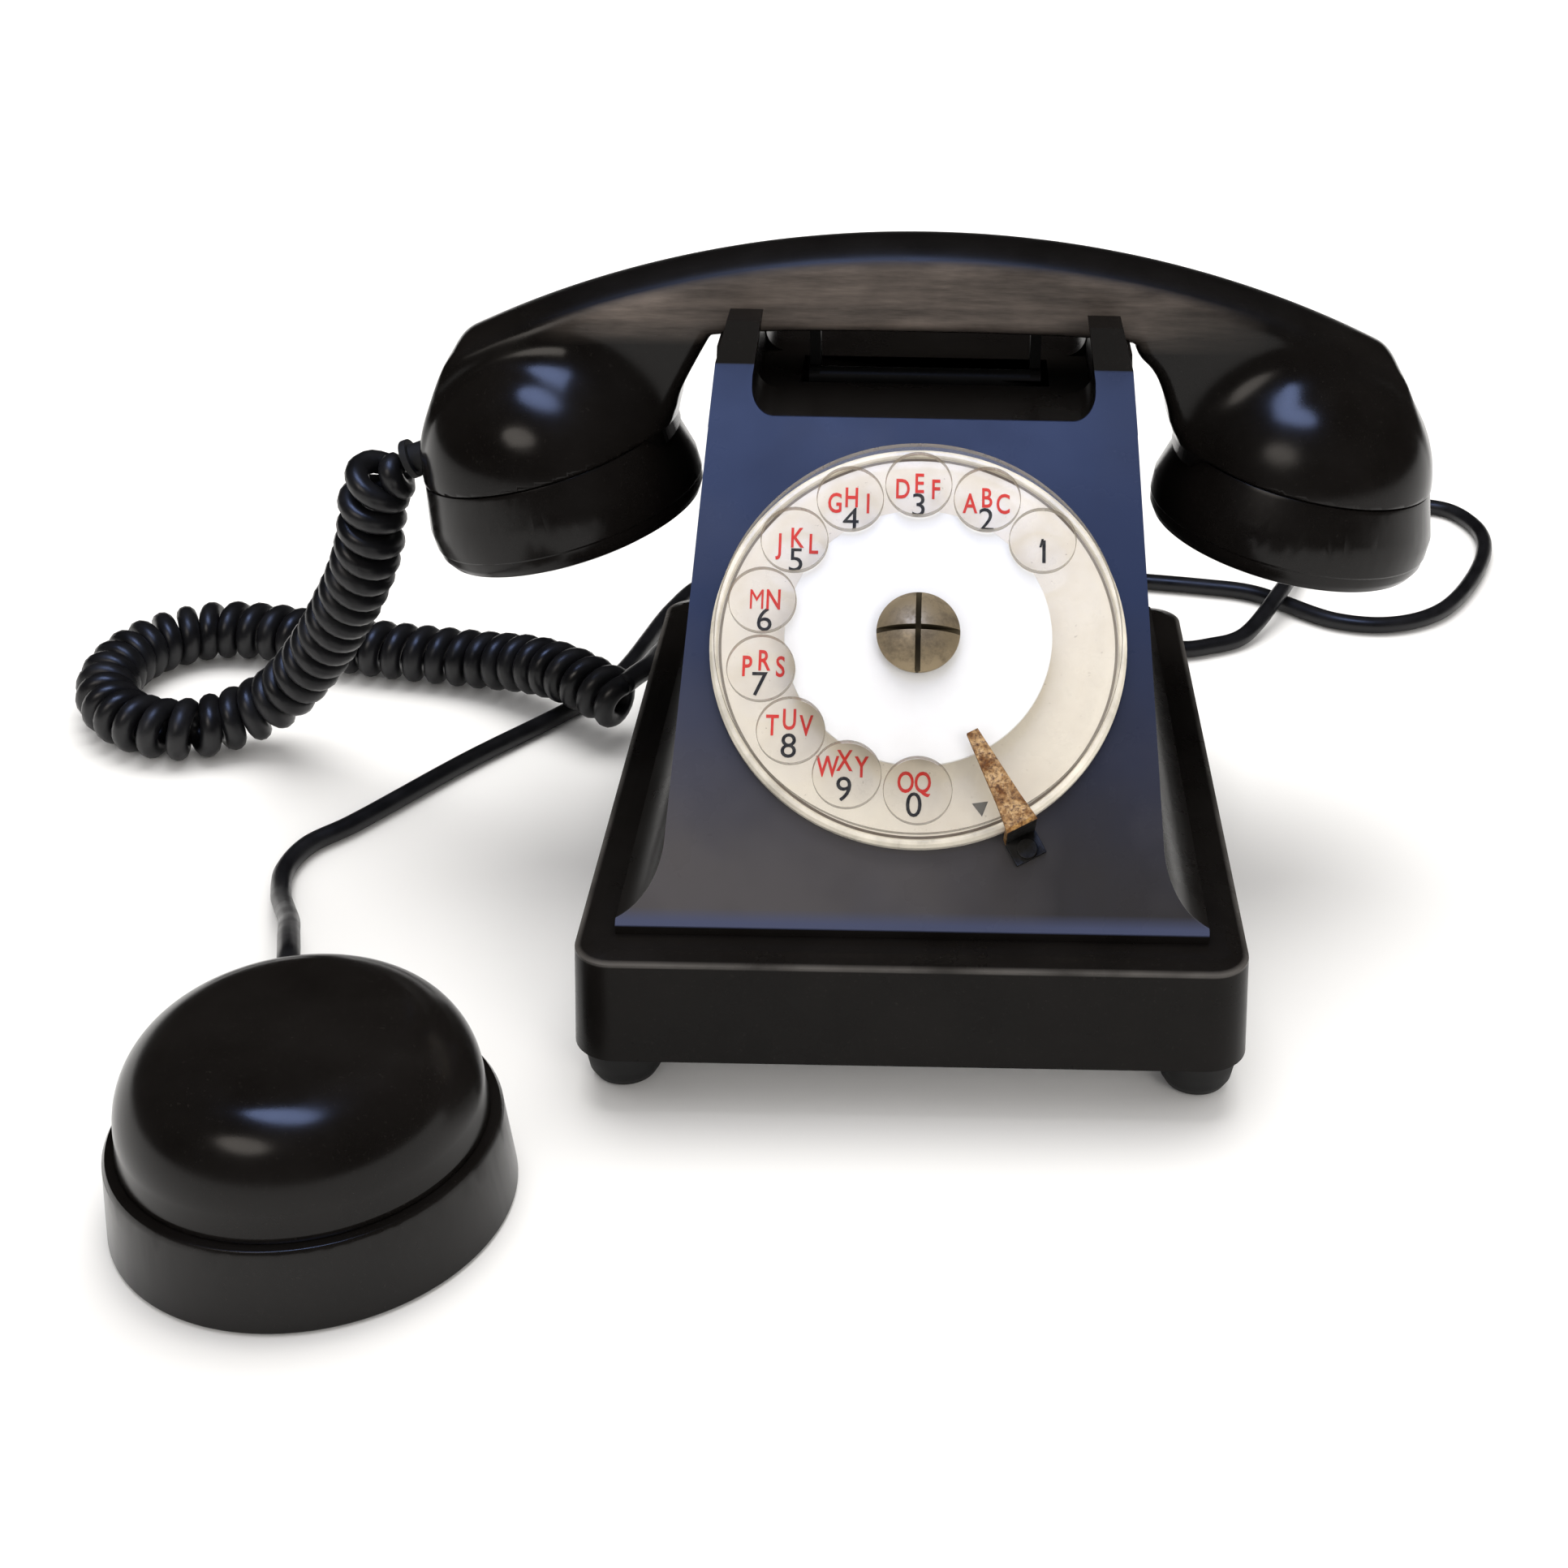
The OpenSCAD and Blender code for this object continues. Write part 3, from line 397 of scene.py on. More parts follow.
# The gland's mouth, from the middle of the second earpiece: its direction, reach and height
GLAND_ANGLE = math.radians(109)
GLAND_REACH = 40.8
GLAND_HEIGHT = 25
gland_mouth = Vector((GLAND_REACH * math.cos(GLAND_ANGLE), GLAND_REACH * math.sin(GLAND_ANGLE), GLAND_HEIGHT))
thin_start = LISTENER + gland_mouth * MM
thin_path = curve_through([thin_start] + [at(*p) for p in THIN_ROUTE], CORD_STEP * MM)
thin = tube("listener_cord_jacket", thin_path, THIN_DIAMETER / 2 * MM, CORD_SIDES)
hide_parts("listener_cord")
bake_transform(thin)

line_points = [at(*p) for p in LINE_ROUTE[:-1] + coil_points() + plug_points()]
line_path = curve_through(line_points, CORD_STEP * MM)
line = tube("line_cord_jacket", line_path, (LINE_DIAMETER / 2 - TURN_GAP) * MM, CORD_SIDES)
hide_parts("line_cord", "line_coil")
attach(line, "base")


# ---- Materials ----

class Shader:
    """A Principled material with a few shortcuts for building its node tree."""

    def __init__(self, name, color, roughness, metallic=0.0):
        self.material = bpy.data.materials.new(name)
        self.material.use_nodes = True
        self.nodes = self.material.node_tree.nodes
        self.links = self.material.node_tree.links
        self.bsdf = self.nodes["Principled BSDF"]
        self.coords = self.nodes.new("ShaderNodeTexCoord").outputs["Object"]
        self.set("Base Color", (*color, 1))
        self.set("Roughness", roughness)
        self.set("Metallic", metallic)
        self.relief = None

    def set(self, socket, value):
        self.bsdf.inputs[socket].default_value = value

    def noise(self, scale, detail=4, stretch=(1, 1, 1), rough=0.55):
        mapping = self.nodes.new("ShaderNodeMapping")
        mapping.inputs["Scale"].default_value = stretch
        self.links.new(self.coords, mapping.inputs["Vector"])
        node = self.nodes.new("ShaderNodeTexNoise")
        node.inputs["Scale"].default_value = scale
        node.inputs["Detail"].default_value = detail
        node.inputs["Roughness"].default_value = rough
        self.links.new(mapping.outputs["Vector"], node.inputs["Vector"])
        return node.outputs["Fac"]

    def spread(self, source, low_in, high_in, low, high):
        """Maps a range of values to another, held at its ends."""
        node = self.nodes.new("ShaderNodeMapRange")
        node.inputs["From Min"].default_value = low_in
        node.inputs["From Max"].default_value = high_in
        node.inputs["To Min"].default_value = low
        node.inputs["To Max"].default_value = high
        self.links.new(source, node.inputs["Value"])
        return node.outputs["Result"]

    def mix(self, share, first, second):
        node = self.nodes.new("ShaderNodeMix")
        node.data_type = "RGBA"
        self.links.new(share, node.inputs["Factor"])
        for socket, value in ((node.inputs[6], first), (node.inputs[7], second)):
            if isinstance(value, tuple):
                socket.default_value = (*value, 1)
            else:
                self.links.new(value, socket)
        return node.outputs[2]

    def reckon(self, operation, first, second):
        node = self.nodes.new("ShaderNodeMath")
        node.operation = operation
        self.links.new(first, node.inputs[0])
        self.links.new(second, node.inputs[1])
        return node.outputs[0]

    def add(self, first, second):
        return self.reckon("ADD", first, second)

    def times(self, first, second):
        return self.reckon("MULTIPLY", first, second)

    def place(self):
        """Outputs with the x, y and z of the point that is shaded."""
        node = self.nodes.new("ShaderNodeSeparateXYZ")
        self.links.new(self.coords, node.inputs["Vector"])
        return node.outputs

    def so_far(self, socket):
        """The output that feeds a socket of the shader now."""
        return self.bsdf.inputs[socket].links[0].from_socket

    def color(self, source):
        self.links.new(source, self.bsdf.inputs["Base Color"])

    def roughness(self, source):
        self.links.new(source, self.bsdf.inputs["Roughness"])

    def bump(self, source, depth, strength=1.0):
        """Adds relief of the given depth in millimetres."""
        node = self.nodes.new("ShaderNodeBump")
        node.inputs["Strength"].default_value = strength
        node.inputs["Distance"].default_value = depth * MM
        self.links.new(source, node.inputs["Height"])
        if self.relief:
            self.links.new(self.relief, node.inputs["Normal"])
        self.relief = node.outputs["Normal"]
        self.links.new(self.relief, self.bsdf.inputs["Normal"])


RESIN_BLACK = (0.0048, 0.0041, 0.0037)
DUST = (0.030, 0.027, 0.024)


def moulded(name, gloss, haze, color=RESIN_BLACK, shine=0.14):
    """Aged black moulding resin: hazy patches, settled dust, slight flow ripples."""
    s = Shader(name, color, gloss)
    s.set("Specular IOR Level", shine)
    patches = s.spread(s.noise(38, 5, rough=0.62), 0.35, 0.72, 0, 1)
    dust = s.spread(s.noise(1400, 2), 0.64, 0.80, 0, 0.3)
    worn = s.mix(patches, color, tuple(c * 1.5 + 0.001 for c in color))
    s.color(s.mix(dust, worn, DUST))
    s.roughness(s.spread(patches, 0, 1, gloss, gloss + haze))
    s.bump(s.noise(24, 2), 0.08)
    s.bump(s.noise(2600, 3), 0.004)
    return s


# The sloped front panel: its slope, a point at its foot, and the heights of its two ends
PANEL_SLOPE = math.radians(46)
PANEL_FACING = Vector((0, -math.sin(PANEL_SLOPE), math.cos(PANEL_SLOPE)))
PANEL_FOOT = at(0, 9.5, 38.5)
PANEL_LOW = (38.1 * MM, 38.4 * MM)
PANEL_HIGH = (127.5 * MM, 127.2 * MM)
# Painted reflection on the front panel: navy blue higher up for the sky's reflection, grey lower down,
# lighter towards the left.
PANEL_SKY_REFLECTION = (0.0175, 0.0265, 0.068)
PANEL_REFLECTION_GREY_LEFT = (0.072, 0.067, 0.069)
PANEL_REFLECTION_GREY_RIGHT = (0.029, 0.027, 0.028)
# Painted blue highlight along the panel's rounded lip.
PANEL_LIP_HIGHLIGHT = (0.055, 0.066, 0.125)
# Painted highlight line round the plinth's top edge.
EDGE_HIGHLIGHT = (0.075, 0.070, 0.066)


def housing_resin():
    """The body's resin, with a painted reflection on the front panel, navy blue above and grey below, and
    painted highlights along the panel's lip and the plinth's top edge.
    """
    s = moulded("housing_resin", 0.24, 0.12, shine=0.09)
    along = s.nodes.new("ShaderNodeVectorMath")
    along.operation = "DOT_PRODUCT"
    along.inputs[1].default_value = PANEL_FACING
    s.links.new(s.coords, along.inputs[0])
    level = PANEL_FOOT.dot(PANEL_FACING)
    x, _, height = s.place()
    panel = s.times(s.spread(along.outputs["Value"], level - 0.5 * MM, level - 0.25 * MM, 0, 1),
                    s.times(s.spread(height, *PANEL_LOW, 0, 1), s.spread(height, *PANEL_HIGH, 0, 1)))
    # Painted reflection on the panel's face: from grey to navy with height, lighter at the left.
    fade = s.add(s.spread(height, 47 * MM, 90 * MM, 0, 1), s.spread(s.noise(26, 3), 0.3, 0.7, -0.12, 0.12))
    across = s.add(s.spread(x, at(-5, 0, 0).x, at(34, 0, 0).x, 0, 1),
                   s.spread(s.noise(34, 3), 0.3, 0.7, -0.25, 0.25))
    panel_reflection = s.mix(fade, s.mix(across, PANEL_REFLECTION_GREY_LEFT, PANEL_REFLECTION_GREY_RIGHT), PANEL_SKY_REFLECTION)
    # Painted highlight along the panel's lip.
    lip_highlight = s.spread(height, 41.2 * MM, 39.2 * MM, 0, 0.9)
    panel_reflection = s.mix(lip_highlight, panel_reflection, PANEL_LIP_HIGHLIGHT)
    # Painted highlight line round the plinth's top edge, broken up in places.
    edge = s.times(s.spread(height, 34.5 * MM, 34.9 * MM, 0, 1), s.spread(height, 35.6 * MM, 35.3 * MM, 0, 1))
    edge_highlight = s.times(edge, s.spread(s.noise(60, 3), 0.3, 0.6, 0.35, 1))
    base = s.mix(edge_highlight, s.so_far("Base Color"), EDGE_HIGHLIGHT)
    s.color(s.mix(panel, base, panel_reflection))
    return s


# Brownish tone on the handle's front face: painted reflection, partly real haze.
HANDLE_HAZE_AND_REFLECTION = (0.195, 0.160, 0.138)


def handset_resin():
    """The handset's resin, with a brownish tone along the front of its handle: a painted reflection of what
    lies in front, partly real haze, in streaky patches.
    """
    s = moulded("handset_resin", 0.15, 0.10, shine=0.19)
    x, y, z = s.place()
    left = s.spread(x, at(-88, 0, 0).x, at(-66, 0, 0).x, 0, 1)
    right = s.spread(x, at(76, 0, 0).x, at(48, 0, 0).x, 0, 1)
    front = s.spread(y, at(0, HANDLE_Y - 9.6, 0).y, at(0, HANDLE_Y - 10.8, 0).y, 0, 1)
    low = s.spread(z, at(0, 0, 127).z, at(0, 0, 133).z, 0, 1)
    streaks = s.spread(s.noise(260, 5, (0.10, 1, 1), 0.7), 0.30, 0.66, 0.25, 1)
    clouds = s.spread(s.noise(34, 4), 0.30, 0.65, 0.35, 0.95)
    # Painted reflection on the handle's front face, in streaky hazy patches that also roughen it.
    share = s.times(s.times(s.times(left, right), s.times(front, low)), s.times(streaks, clouds))
    s.color(s.mix(share, s.so_far("Base Color"), HANDLE_HAZE_AND_REFLECTION))
    crown = s.spread(z, at(0, 0, 129).z, at(0, 0, 136).z, 0, 0.22)
    rough = s.add(s.so_far("Roughness"), s.spread(share, 0, 1, 0, 0.25))
    s.roughness(s.add(rough, crown))
    return s


def rubbery(name, color, roughness, grain, shine=0.3):
    """Soft matt skin with a cloudy bloom and a fine grain."""
    s = Shader(name, color, roughness)
    s.set("Specular IOR Level", shine)
    cloud = s.spread(s.noise(120, 4), 0.35, 0.7, 0, 1)
    s.color(s.mix(cloud, color, tuple(c * 1.6 + 0.002 for c in color)))
    s.roughness(s.spread(cloud, 0, 1, roughness - 0.06, roughness + 0.1))
    s.bump(s.noise(1800, 4), grain)
    return s.material


def metal(name, color, dark, roughness, tarnish=0.5, brush=(1, 1, 1), metallic=1.0):
    """Bare metal with tarnish in patches and a fine grain."""
    s = Shader(name, color, roughness, metallic)
    blotch = s.spread(s.noise(210, 6, rough=0.7), 0.60 - 0.25 * tarnish, 0.80 - 0.2 * tarnish, 0, 1)
    grain = s.noise(900, 3, brush)
    s.color(s.mix(blotch, color, dark))
    s.roughness(s.add(s.spread(blotch, 0, 1, roughness, roughness + 0.25),
                      s.spread(grain, 0.3, 0.7, -0.05, 0.08)))
    s.bump(grain, 0.006)
    s.bump(blotch, 0.012)
    return s.material


def rusty(name):
    """Finger stop: brass plating gone brown, with rusty pits."""
    s = Shader(name, (0.44, 0.25, 0.09), 0.45, 0.6)
    coarse = s.spread(s.noise(420, 6, rough=0.72), 0.40, 0.62, 0, 1)
    fine = s.spread(s.noise(1500, 4, rough=0.7), 0.45, 0.66, 0, 1)
    brown = s.mix(coarse, (0.60, 0.35, 0.12), (0.22, 0.085, 0.02))
    s.color(s.mix(fine, brown, (0.10, 0.045, 0.02)))
    s.roughness(s.spread(coarse, 0, 1, 0.32, 0.75))
    s.bump(coarse, 0.05)
    s.bump(fine, 0.02)
    return s.material


def enamel():
    """Ivory number plate, slightly mottled and yellowed."""
    ivory = (0.75, 0.69, 0.58)
    s = Shader("ivory_enamel", ivory, 0.30)
    cloud = s.spread(s.noise(90, 5, rough=0.6), 0.35, 0.7, 0, 1)
    specks = s.spread(s.noise(1100, 2), 0.70, 0.80, 0, 0.8)
    s.color(s.mix(specks, s.mix(cloud, ivory, (0.67, 0.60, 0.48)), (0.30, 0.24, 0.16)))
    s.roughness(s.spread(cloud, 0, 1, 0.24, 0.40))
    s.bump(s.noise(320, 3), 0.01)
    return s.material


def white_card():
    """White dial disc, lightly soiled."""
    white = (0.84, 0.85, 0.87)
    s = Shader("white_disc", white, 0.38)
    cloud = s.spread(s.noise(70, 5), 0.45, 0.75, 0, 1)
    specks = s.spread(s.noise(600, 2), 0.74, 0.84, 0, 0.7)
    s.color(s.mix(specks, s.mix(cloud, white, (0.80, 0.80, 0.82)), (0.55, 0.52, 0.50)))
    s.roughness(s.spread(cloud, 0, 1, 0.32, 0.46))
    s.bump(s.noise(500, 3), 0.006)
    return s.material


def clear_resin(name, color, alpha, roughness):
    """Aged clear acrylic, as a thin coloured veil with a glossy skin."""
    s = Shader(name, color, roughness)
    s.set("Specular IOR Level", 0.45)
    cloud = s.spread(s.noise(130, 5), 0.35, 0.7, 0, 1)
    wear = s.noise(500, 4, (1, 0.3, 0.3))
    s.color(s.mix(cloud, color, tuple(c * 0.93 for c in color)))
    s.roughness(s.spread(wear, 0.3, 0.7, roughness, roughness + 0.10))
    s.links.new(s.spread(cloud, 0, 1, alpha, alpha + 0.03), s.bsdf.inputs["Alpha"])
    s.bump(s.noise(60, 2), 0.02)
    return s.material


def ink(name, color):
    """Printed ink, thin in places; the painted shadow line round the number plate takes it too."""
    s = Shader(name, color, 0.45)
    s.set("Specular IOR Level", 0.08)
    fade = s.spread(s.noise(700, 4), 0.40, 0.75, 0, 1)
    s.color(s.mix(fade, color, tuple(0.8 * c + 0.05 for c in color)))
    s.roughness(s.spread(fade, 0, 1, 0.38, 0.55))
    return s.material


def wound(name, color, pitch_scale):
    """Varnished winding: fine bands of wire round the bobbin."""
    s = Shader(name, color, 0.35)
    wave = s.nodes.new("ShaderNodeTexWave")
    wave.bands_direction = "Y"
    wave.inputs["Scale"].default_value = pitch_scale
    wave.inputs["Distortion"].default_value = 0.6
    s.links.new(s.coords, wave.inputs["Vector"])
    bands = wave.outputs["Fac"]
    s.color(s.mix(bands, tuple(c * 0.45 for c in color), color))
    s.roughness(s.spread(bands, 0, 1, 0.5, 0.28))
    s.bump(bands, 0.12)
    return s.material


HOUSING_BLACK = housing_resin().material
HANDSET_BLACK = handset_resin().material
CAP_BLACK = moulded("cap_resin", 0.17, 0.10, shine=0.22).material
# The hook bar's resin is darker and duller than the housing's: painted shade for the recess it stands in.
HOOK_BLACK = moulded("hook_resin", 0.42, 0.12, (0.003, 0.003, 0.003), 0.10).material
RUBBER = rubbery("black_rubber", (0.007, 0.007, 0.007), 0.62, 0.03)
JACKET = rubbery("cord_jacket", (0.005, 0.005, 0.006), 0.36, 0.008)
CURLY_JACKET = rubbery("curly_jacket", (0.005, 0.005, 0.006), 0.36, 0.006, 0.36)
PLUG_BODY = moulded("plug_resin", 0.34, 0.15, (0.014, 0.012, 0.011), 0.25).material
ZINC = metal("zinc_steel", (0.56, 0.56, 0.57), (0.30, 0.29, 0.27), 0.36, 0.4)
BLACKENED = metal("blackened_steel", (0.06, 0.06, 0.06), (0.03, 0.026, 0.022), 0.5, 0.5)
RIM = rubbery("cream_rim", (0.56, 0.52, 0.44), 0.30, 0.003, 0.45)
NICKEL = metal("aged_nickel", (0.30, 0.235, 0.145), (0.15, 0.115, 0.07), 0.45, 0.6, (1, 5, 1), 0.55)
GRIME = rubbery("slot_grime", (0.045, 0.035, 0.02), 0.8, 0.02, 0.1)
BRASS = metal("aged_brass", (0.66, 0.49, 0.24), (0.28, 0.19, 0.09), 0.30, 0.4)
SPRING = metal("spring_steel", (0.45, 0.45, 0.47), (0.22, 0.22, 0.22), 0.25, 0.3)
STOP = rusty("rusty_stop")
PLATE = enamel()
CARD = white_card()
ACRYLIC = clear_resin("clear_wheel", (0.88, 0.84, 0.75), 0.05, 0.12)
# Darker brown veil on the wheel's hole walls and rim: the aged acrylic's tint, with painted shade in its
# edges.
ACRYLIC_EDGE_SHADE = clear_resin("clear_wheel_edge_shade", (0.26, 0.23, 0.18), 0.72, 0.25)
RED_INK = ink("red_ink", (0.68, 0.045, 0.035))
# Painted shadow line round the number plate's edge.
PAINTED_SHADOW_LINE = ink("painted_shadow_line", (0.16, 0.13, 0.10))
BLACK_INK = ink("black_ink", (0.022, 0.021, 0.021))
CONTACTS = rubbery("contact_block", (0.16, 0.075, 0.03), 0.42, 0.02)
WINDING = wound("coil_winding", (0.42, 0.12, 0.05), 260)
CAN = metal("capacitor_can", (0.50, 0.49, 0.44), (0.30, 0.28, 0.22), 0.42, 0.5)
MICROPHONE = metal("microphone_can", (0.48, 0.44, 0.34), (0.25, 0.21, 0.14), 0.38, 0.5)

dress(curly, CURLY_JACKET)
dress(tail, CURLY_JACKET)
dress(thin, JACKET)
dress(line, JACKET)


# ---- Handset ----

ARC_RADIUS = 242
HANDLE_MIDDLE_X = 0.7
HANDLE_HALF_DEPTH = 11
HANDLE_TOP = 150
HANDLE_CROWN = 3
CUP_X = 88
CUP_Z = 99.6
DOME_RADIUS = 30.31
DOME_DROP = 4.31
TILTS = {-1: math.radians(15), 1: math.radians(10)}
HANDLE_OUTLINE = [(-115, 97), (-115, 103), (-110.5, 116), (-104.5, 127), (-103, 155), (103, 155),
                  (105, 127), (111, 116), (115, 104), (115, 97), (108, 101), (70, 105), (57, 107),
                  (54, 117), (51.5, 122.5), (47.5, 126), (46.2, 130.4), (-46.8, 130.4),
                  (-49.5, 126), (-54.5, 117), (-58, 109), (-70, 107), (-106, 98)]
# How far the handle's outline and its long edges are rounded
OUTLINE_ROUNDING = 3.0
EDGE_ROUNDING = 3.4
# Distances from the middle between which the blend of handle and cup goes from one width to the other
BLEND_ENDS = (80, 100)
BLEND_WIDTHS = (9.0, 1.5)
CUP_SKIRT = 4
SEAM_GAP = 0.3
# Steps of the rim behind the seam: how far it goes in, and its height from the seam
RIM_STEPS = ((0.9, -0.15), (0, -3))
VOXEL = 1.0
SETTLING_PASSES = 6
SETTLING_REACH = 0.05


def cut_corners(outline, passes):
    """Rounds a closed outline by cutting each corner at a quarter of its sides."""
    points = [Vector(p) for p in outline]
    for _ in range(passes):
        points = [p for a, b in zip(points, points[1:] + points[:1])
                  for p in (a.lerp(b, 0.25), a.lerp(b, 0.75))]
    return points


def outline_distance(x, z, outline):
    """Distance from points to a closed outline, negative inside."""
    nearest = np.full(len(x), 1e9)
    inside = np.zeros(len(x), bool)
    for a, b in zip(outline, outline[1:] + outline[:1]):
        ex, ez = b[0] - a[0], b[1] - a[1]
        wx, wz = x - a[0], z - a[1]
        t = np.clip((wx * ex + wz * ez) / (ex * ex + ez * ez), 0, 1)
        nearest = np.minimum(nearest, np.hypot(wx - ex * t, wz - ez * t))
        crosses = (a[1] > z) != (b[1] > z)
        if abs(ez) > 1e-9:
            inside ^= crosses & (wx < ex * wz / ez)
    return np.where(inside, -nearest, nearest)


def round_max(a, b, k):
    return np.maximum(a, b) + np.maximum(k - np.abs(a - b), 0) ** 2 / (4 * k)


def round_min(a, b, k):
    return -round_max(-a, -b, k)


def cup_axes(side):
    """Middle of a cup's seam and its axis towards the handle, in millimetres."""
    tilt = TILTS[side] * side
    middle = np.array((side * CUP_X + HANDLE_MIDDLE_X, HANDLE_Y, CUP_Z))
    return middle, np.array((math.sin(tilt), 0, math.cos(tilt)))


def cup_distance(points, side):
    """Distance from points to a cup: a dome on a short round skirt."""
    middle, axis = cup_axes(side)
    away = points - middle
    height = away @ axis
    across = np.linalg.norm(away - np.outer(height, axis), axis=1)
    dome = np.hypot(across, height + DOME_DROP) - DOME_RADIUS
    body = np.where(height > -DOME_DROP, dome, across - DOME_RADIUS)
    return np.maximum(body, -height - CUP_SKIRT)


def handset_distance(points, outline):
    """Distance from points to the handset's surface, negative inside."""
    x, y, z = points.T
    deep = y - HANDLE_Y
    top = HANDLE_TOP - HANDLE_CROWN * (deep / HANDLE_HALF_DEPTH) ** 2
    arc = np.hypot(x - HANDLE_MIDDLE_X, z - (top - ARC_RADIUS)) - ARC_RADIUS
    side = outline_distance(x, z, outline)
    handle = round_max(side, arc, OUTLINE_ROUNDING)
    handle = round_max(handle, np.abs(deep) - HANDLE_HALF_DEPTH, EDGE_ROUNDING)
    blend = np.interp(np.abs(x - HANDLE_MIDDLE_X), BLEND_ENDS, BLEND_WIDTHS)
    for cup in (-1, 1):
        handle = round_min(handle, cup_distance(points, cup), blend)
    return handle


def rough_handset():
    """Overlapping closed solids near the handset's final surface, for remeshing."""
    shape = bmesh.new()
    loops = []
    points = cut_corners(HANDLE_OUTLINE, 1)
    for deep in (-HANDLE_HALF_DEPTH, HANDLE_HALF_DEPTH):
        loop = []
        for x, z in points:
            arc_z = HANDLE_TOP - 1 - ARC_RADIUS + math.sqrt(ARC_RADIUS ** 2 - (x - HANDLE_MIDDLE_X) ** 2)
            loop.append(shape.verts.new((x, HANDLE_Y + deep, min(z, arc_z))))
        loops.append(loop)
    for k in range(len(points)):
        m = (k + 1) % len(points)
        shape.faces.new((loops[0][k], loops[0][m], loops[1][m], loops[1][k]))
    shape.faces.new(loops[0])
    shape.faces.new(list(reversed(loops[1])))
    for side in (-1, 1):
        middle, axis = cup_axes(side)
        place = Matrix.Translation(middle - axis * DOME_DROP)
        bmesh.ops.create_uvsphere(shape, u_segments=48, v_segments=32, radius=DOME_RADIUS, matrix=place)
    bmesh.ops.recalc_face_normals(shape, faces=shape.faces)
    bmesh.ops.triangulate(shape, faces=shape.faces)
    mesh = bpy.data.meshes.new("handset_rough")
    shape.to_mesh(mesh)
    shape.free()
    return add_object("handset_rough", mesh)


def make_handset_shell():
    """Handle and both cups in one blended skin, cut off flat at the seams."""
    rough = rough_handset()
    remesh = rough.modifiers.new("remesh", "REMESH")
    remesh.mode = "VOXEL"
    remesh.voxel_size = VOXEL
    mesh = final_mesh(rough)
    points = np.empty(len(mesh.vertices) * 3)
    mesh.vertices.foreach_get("co", points)
    points = points.reshape(-1, 3)
    outline = [tuple(p) for p in cut_corners(HANDLE_OUTLINE, 2)]
    for _ in range(SETTLING_PASSES):
        value = handset_distance(points, outline)
        slope = np.empty_like(points)
        for axis in range(3):
            moved = points.copy()
            moved[:, axis] += SETTLING_REACH
            slope[:, axis] = (handset_distance(moved, outline) - value) / SETTLING_REACH
        size = np.maximum((slope ** 2).sum(1), 0.05)
        points -= np.clip(value / size, -2, 2)[:, None] * slope
    mesh.vertices.foreach_set("co", points.ravel())
    shape = bmesh.new()
    shape.from_mesh(mesh)
    for side in (-1, 1):
        cut_at_seam(shape, side)
    bmesh.ops.recalc_face_normals(shape, faces=shape.faces)
    shape.to_mesh(mesh)
    shape.free()
    mesh.transform(Matrix.Translation(PHONE) @ Matrix.Scale(MM, 4))
    mesh.shade_smooth()
    return add_object("handset_body", mesh)


def cut_at_seam(shape, side):
    """Cuts the skin just above a cup's seam and closes it with a stepped rim."""
    middle, axis = (Vector(v) for v in cup_axes(side))
    near = [f for f in shape.faces if f.calc_center_median().x * side > CUP_X - 40]
    geometry = near + list({e for f in near for e in f.edges} | {v for f in near for v in f.verts})
    bmesh.ops.bisect_plane(shape, geom=geometry, dist=1e-5, plane_co=middle + axis * SEAM_GAP,
                           plane_no=axis, clear_inner=True)
    rim = [e for e in shape.edges if e.is_boundary]
    for shrink, height in RIM_STEPS:
        made = bmesh.ops.extrude_edge_only(shape, edges=rim)["geom"]
        rim = [g for g in made if isinstance(g, bmesh.types.BMEdge)]
        verts = [g for g in made if isinstance(g, bmesh.types.BMVert)]
        for v in verts:
            away = v.co - middle
            flat = away - axis * away.dot(axis)
            v.co = middle + flat.normalized() * (flat.length - shrink) + axis * height
    bmesh.ops.holes_fill(shape, edges=rim, sides=0)


handset = make_handset_shell()
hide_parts("handset_shell")
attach(handset, "handset")
dress(handset, HANDSET_BLACK)


# ---- Second earpiece ----

# The dome's flat top, the middle and width of its shoulder's ellipse, and how low it goes inside the cap
DOME_FLAT = 15.0
SHOULDER_MIDDLE = (18, 23)
SHOULDER_WIDTH = 16
SHOULDER_STEPS = 36
DOME_FOOT = 12.0


def listener_profile():
    """Dome from its flat top down behind the cap's rim."""
    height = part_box("listener_shell")[1].z / MM
    cap_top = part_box("listener_cap")[1].z / MM
    profile = [(0.0, height), (DOME_FLAT, height)]
    middle_radius, middle_height = SHOULDER_MIDDLE
    for i in range(SHOULDER_STEPS + 1):
        turn = math.radians(90 - i * 90 / SHOULDER_STEPS)
        profile.append((middle_radius + SHOULDER_WIDTH * math.cos(turn),
                        middle_height + (height - middle_height - 0.4) * math.sin(turn)))
    profile += [(34.4, cap_top + 1.4), (34.6, cap_top + 0.3), (33.4, cap_top - 0.4),
                (33.0, DOME_FOOT), (0.0, DOME_FOOT)]
    return profile


listener = lathe("listener_dome", listener_profile(), Matrix.Translation(LISTENER) @ Matrix.Scale(MM, 4))
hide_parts("listener_shell")
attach(listener, "listener")
dress(listener, HANDSET_BLACK)


# ---- Dial ----

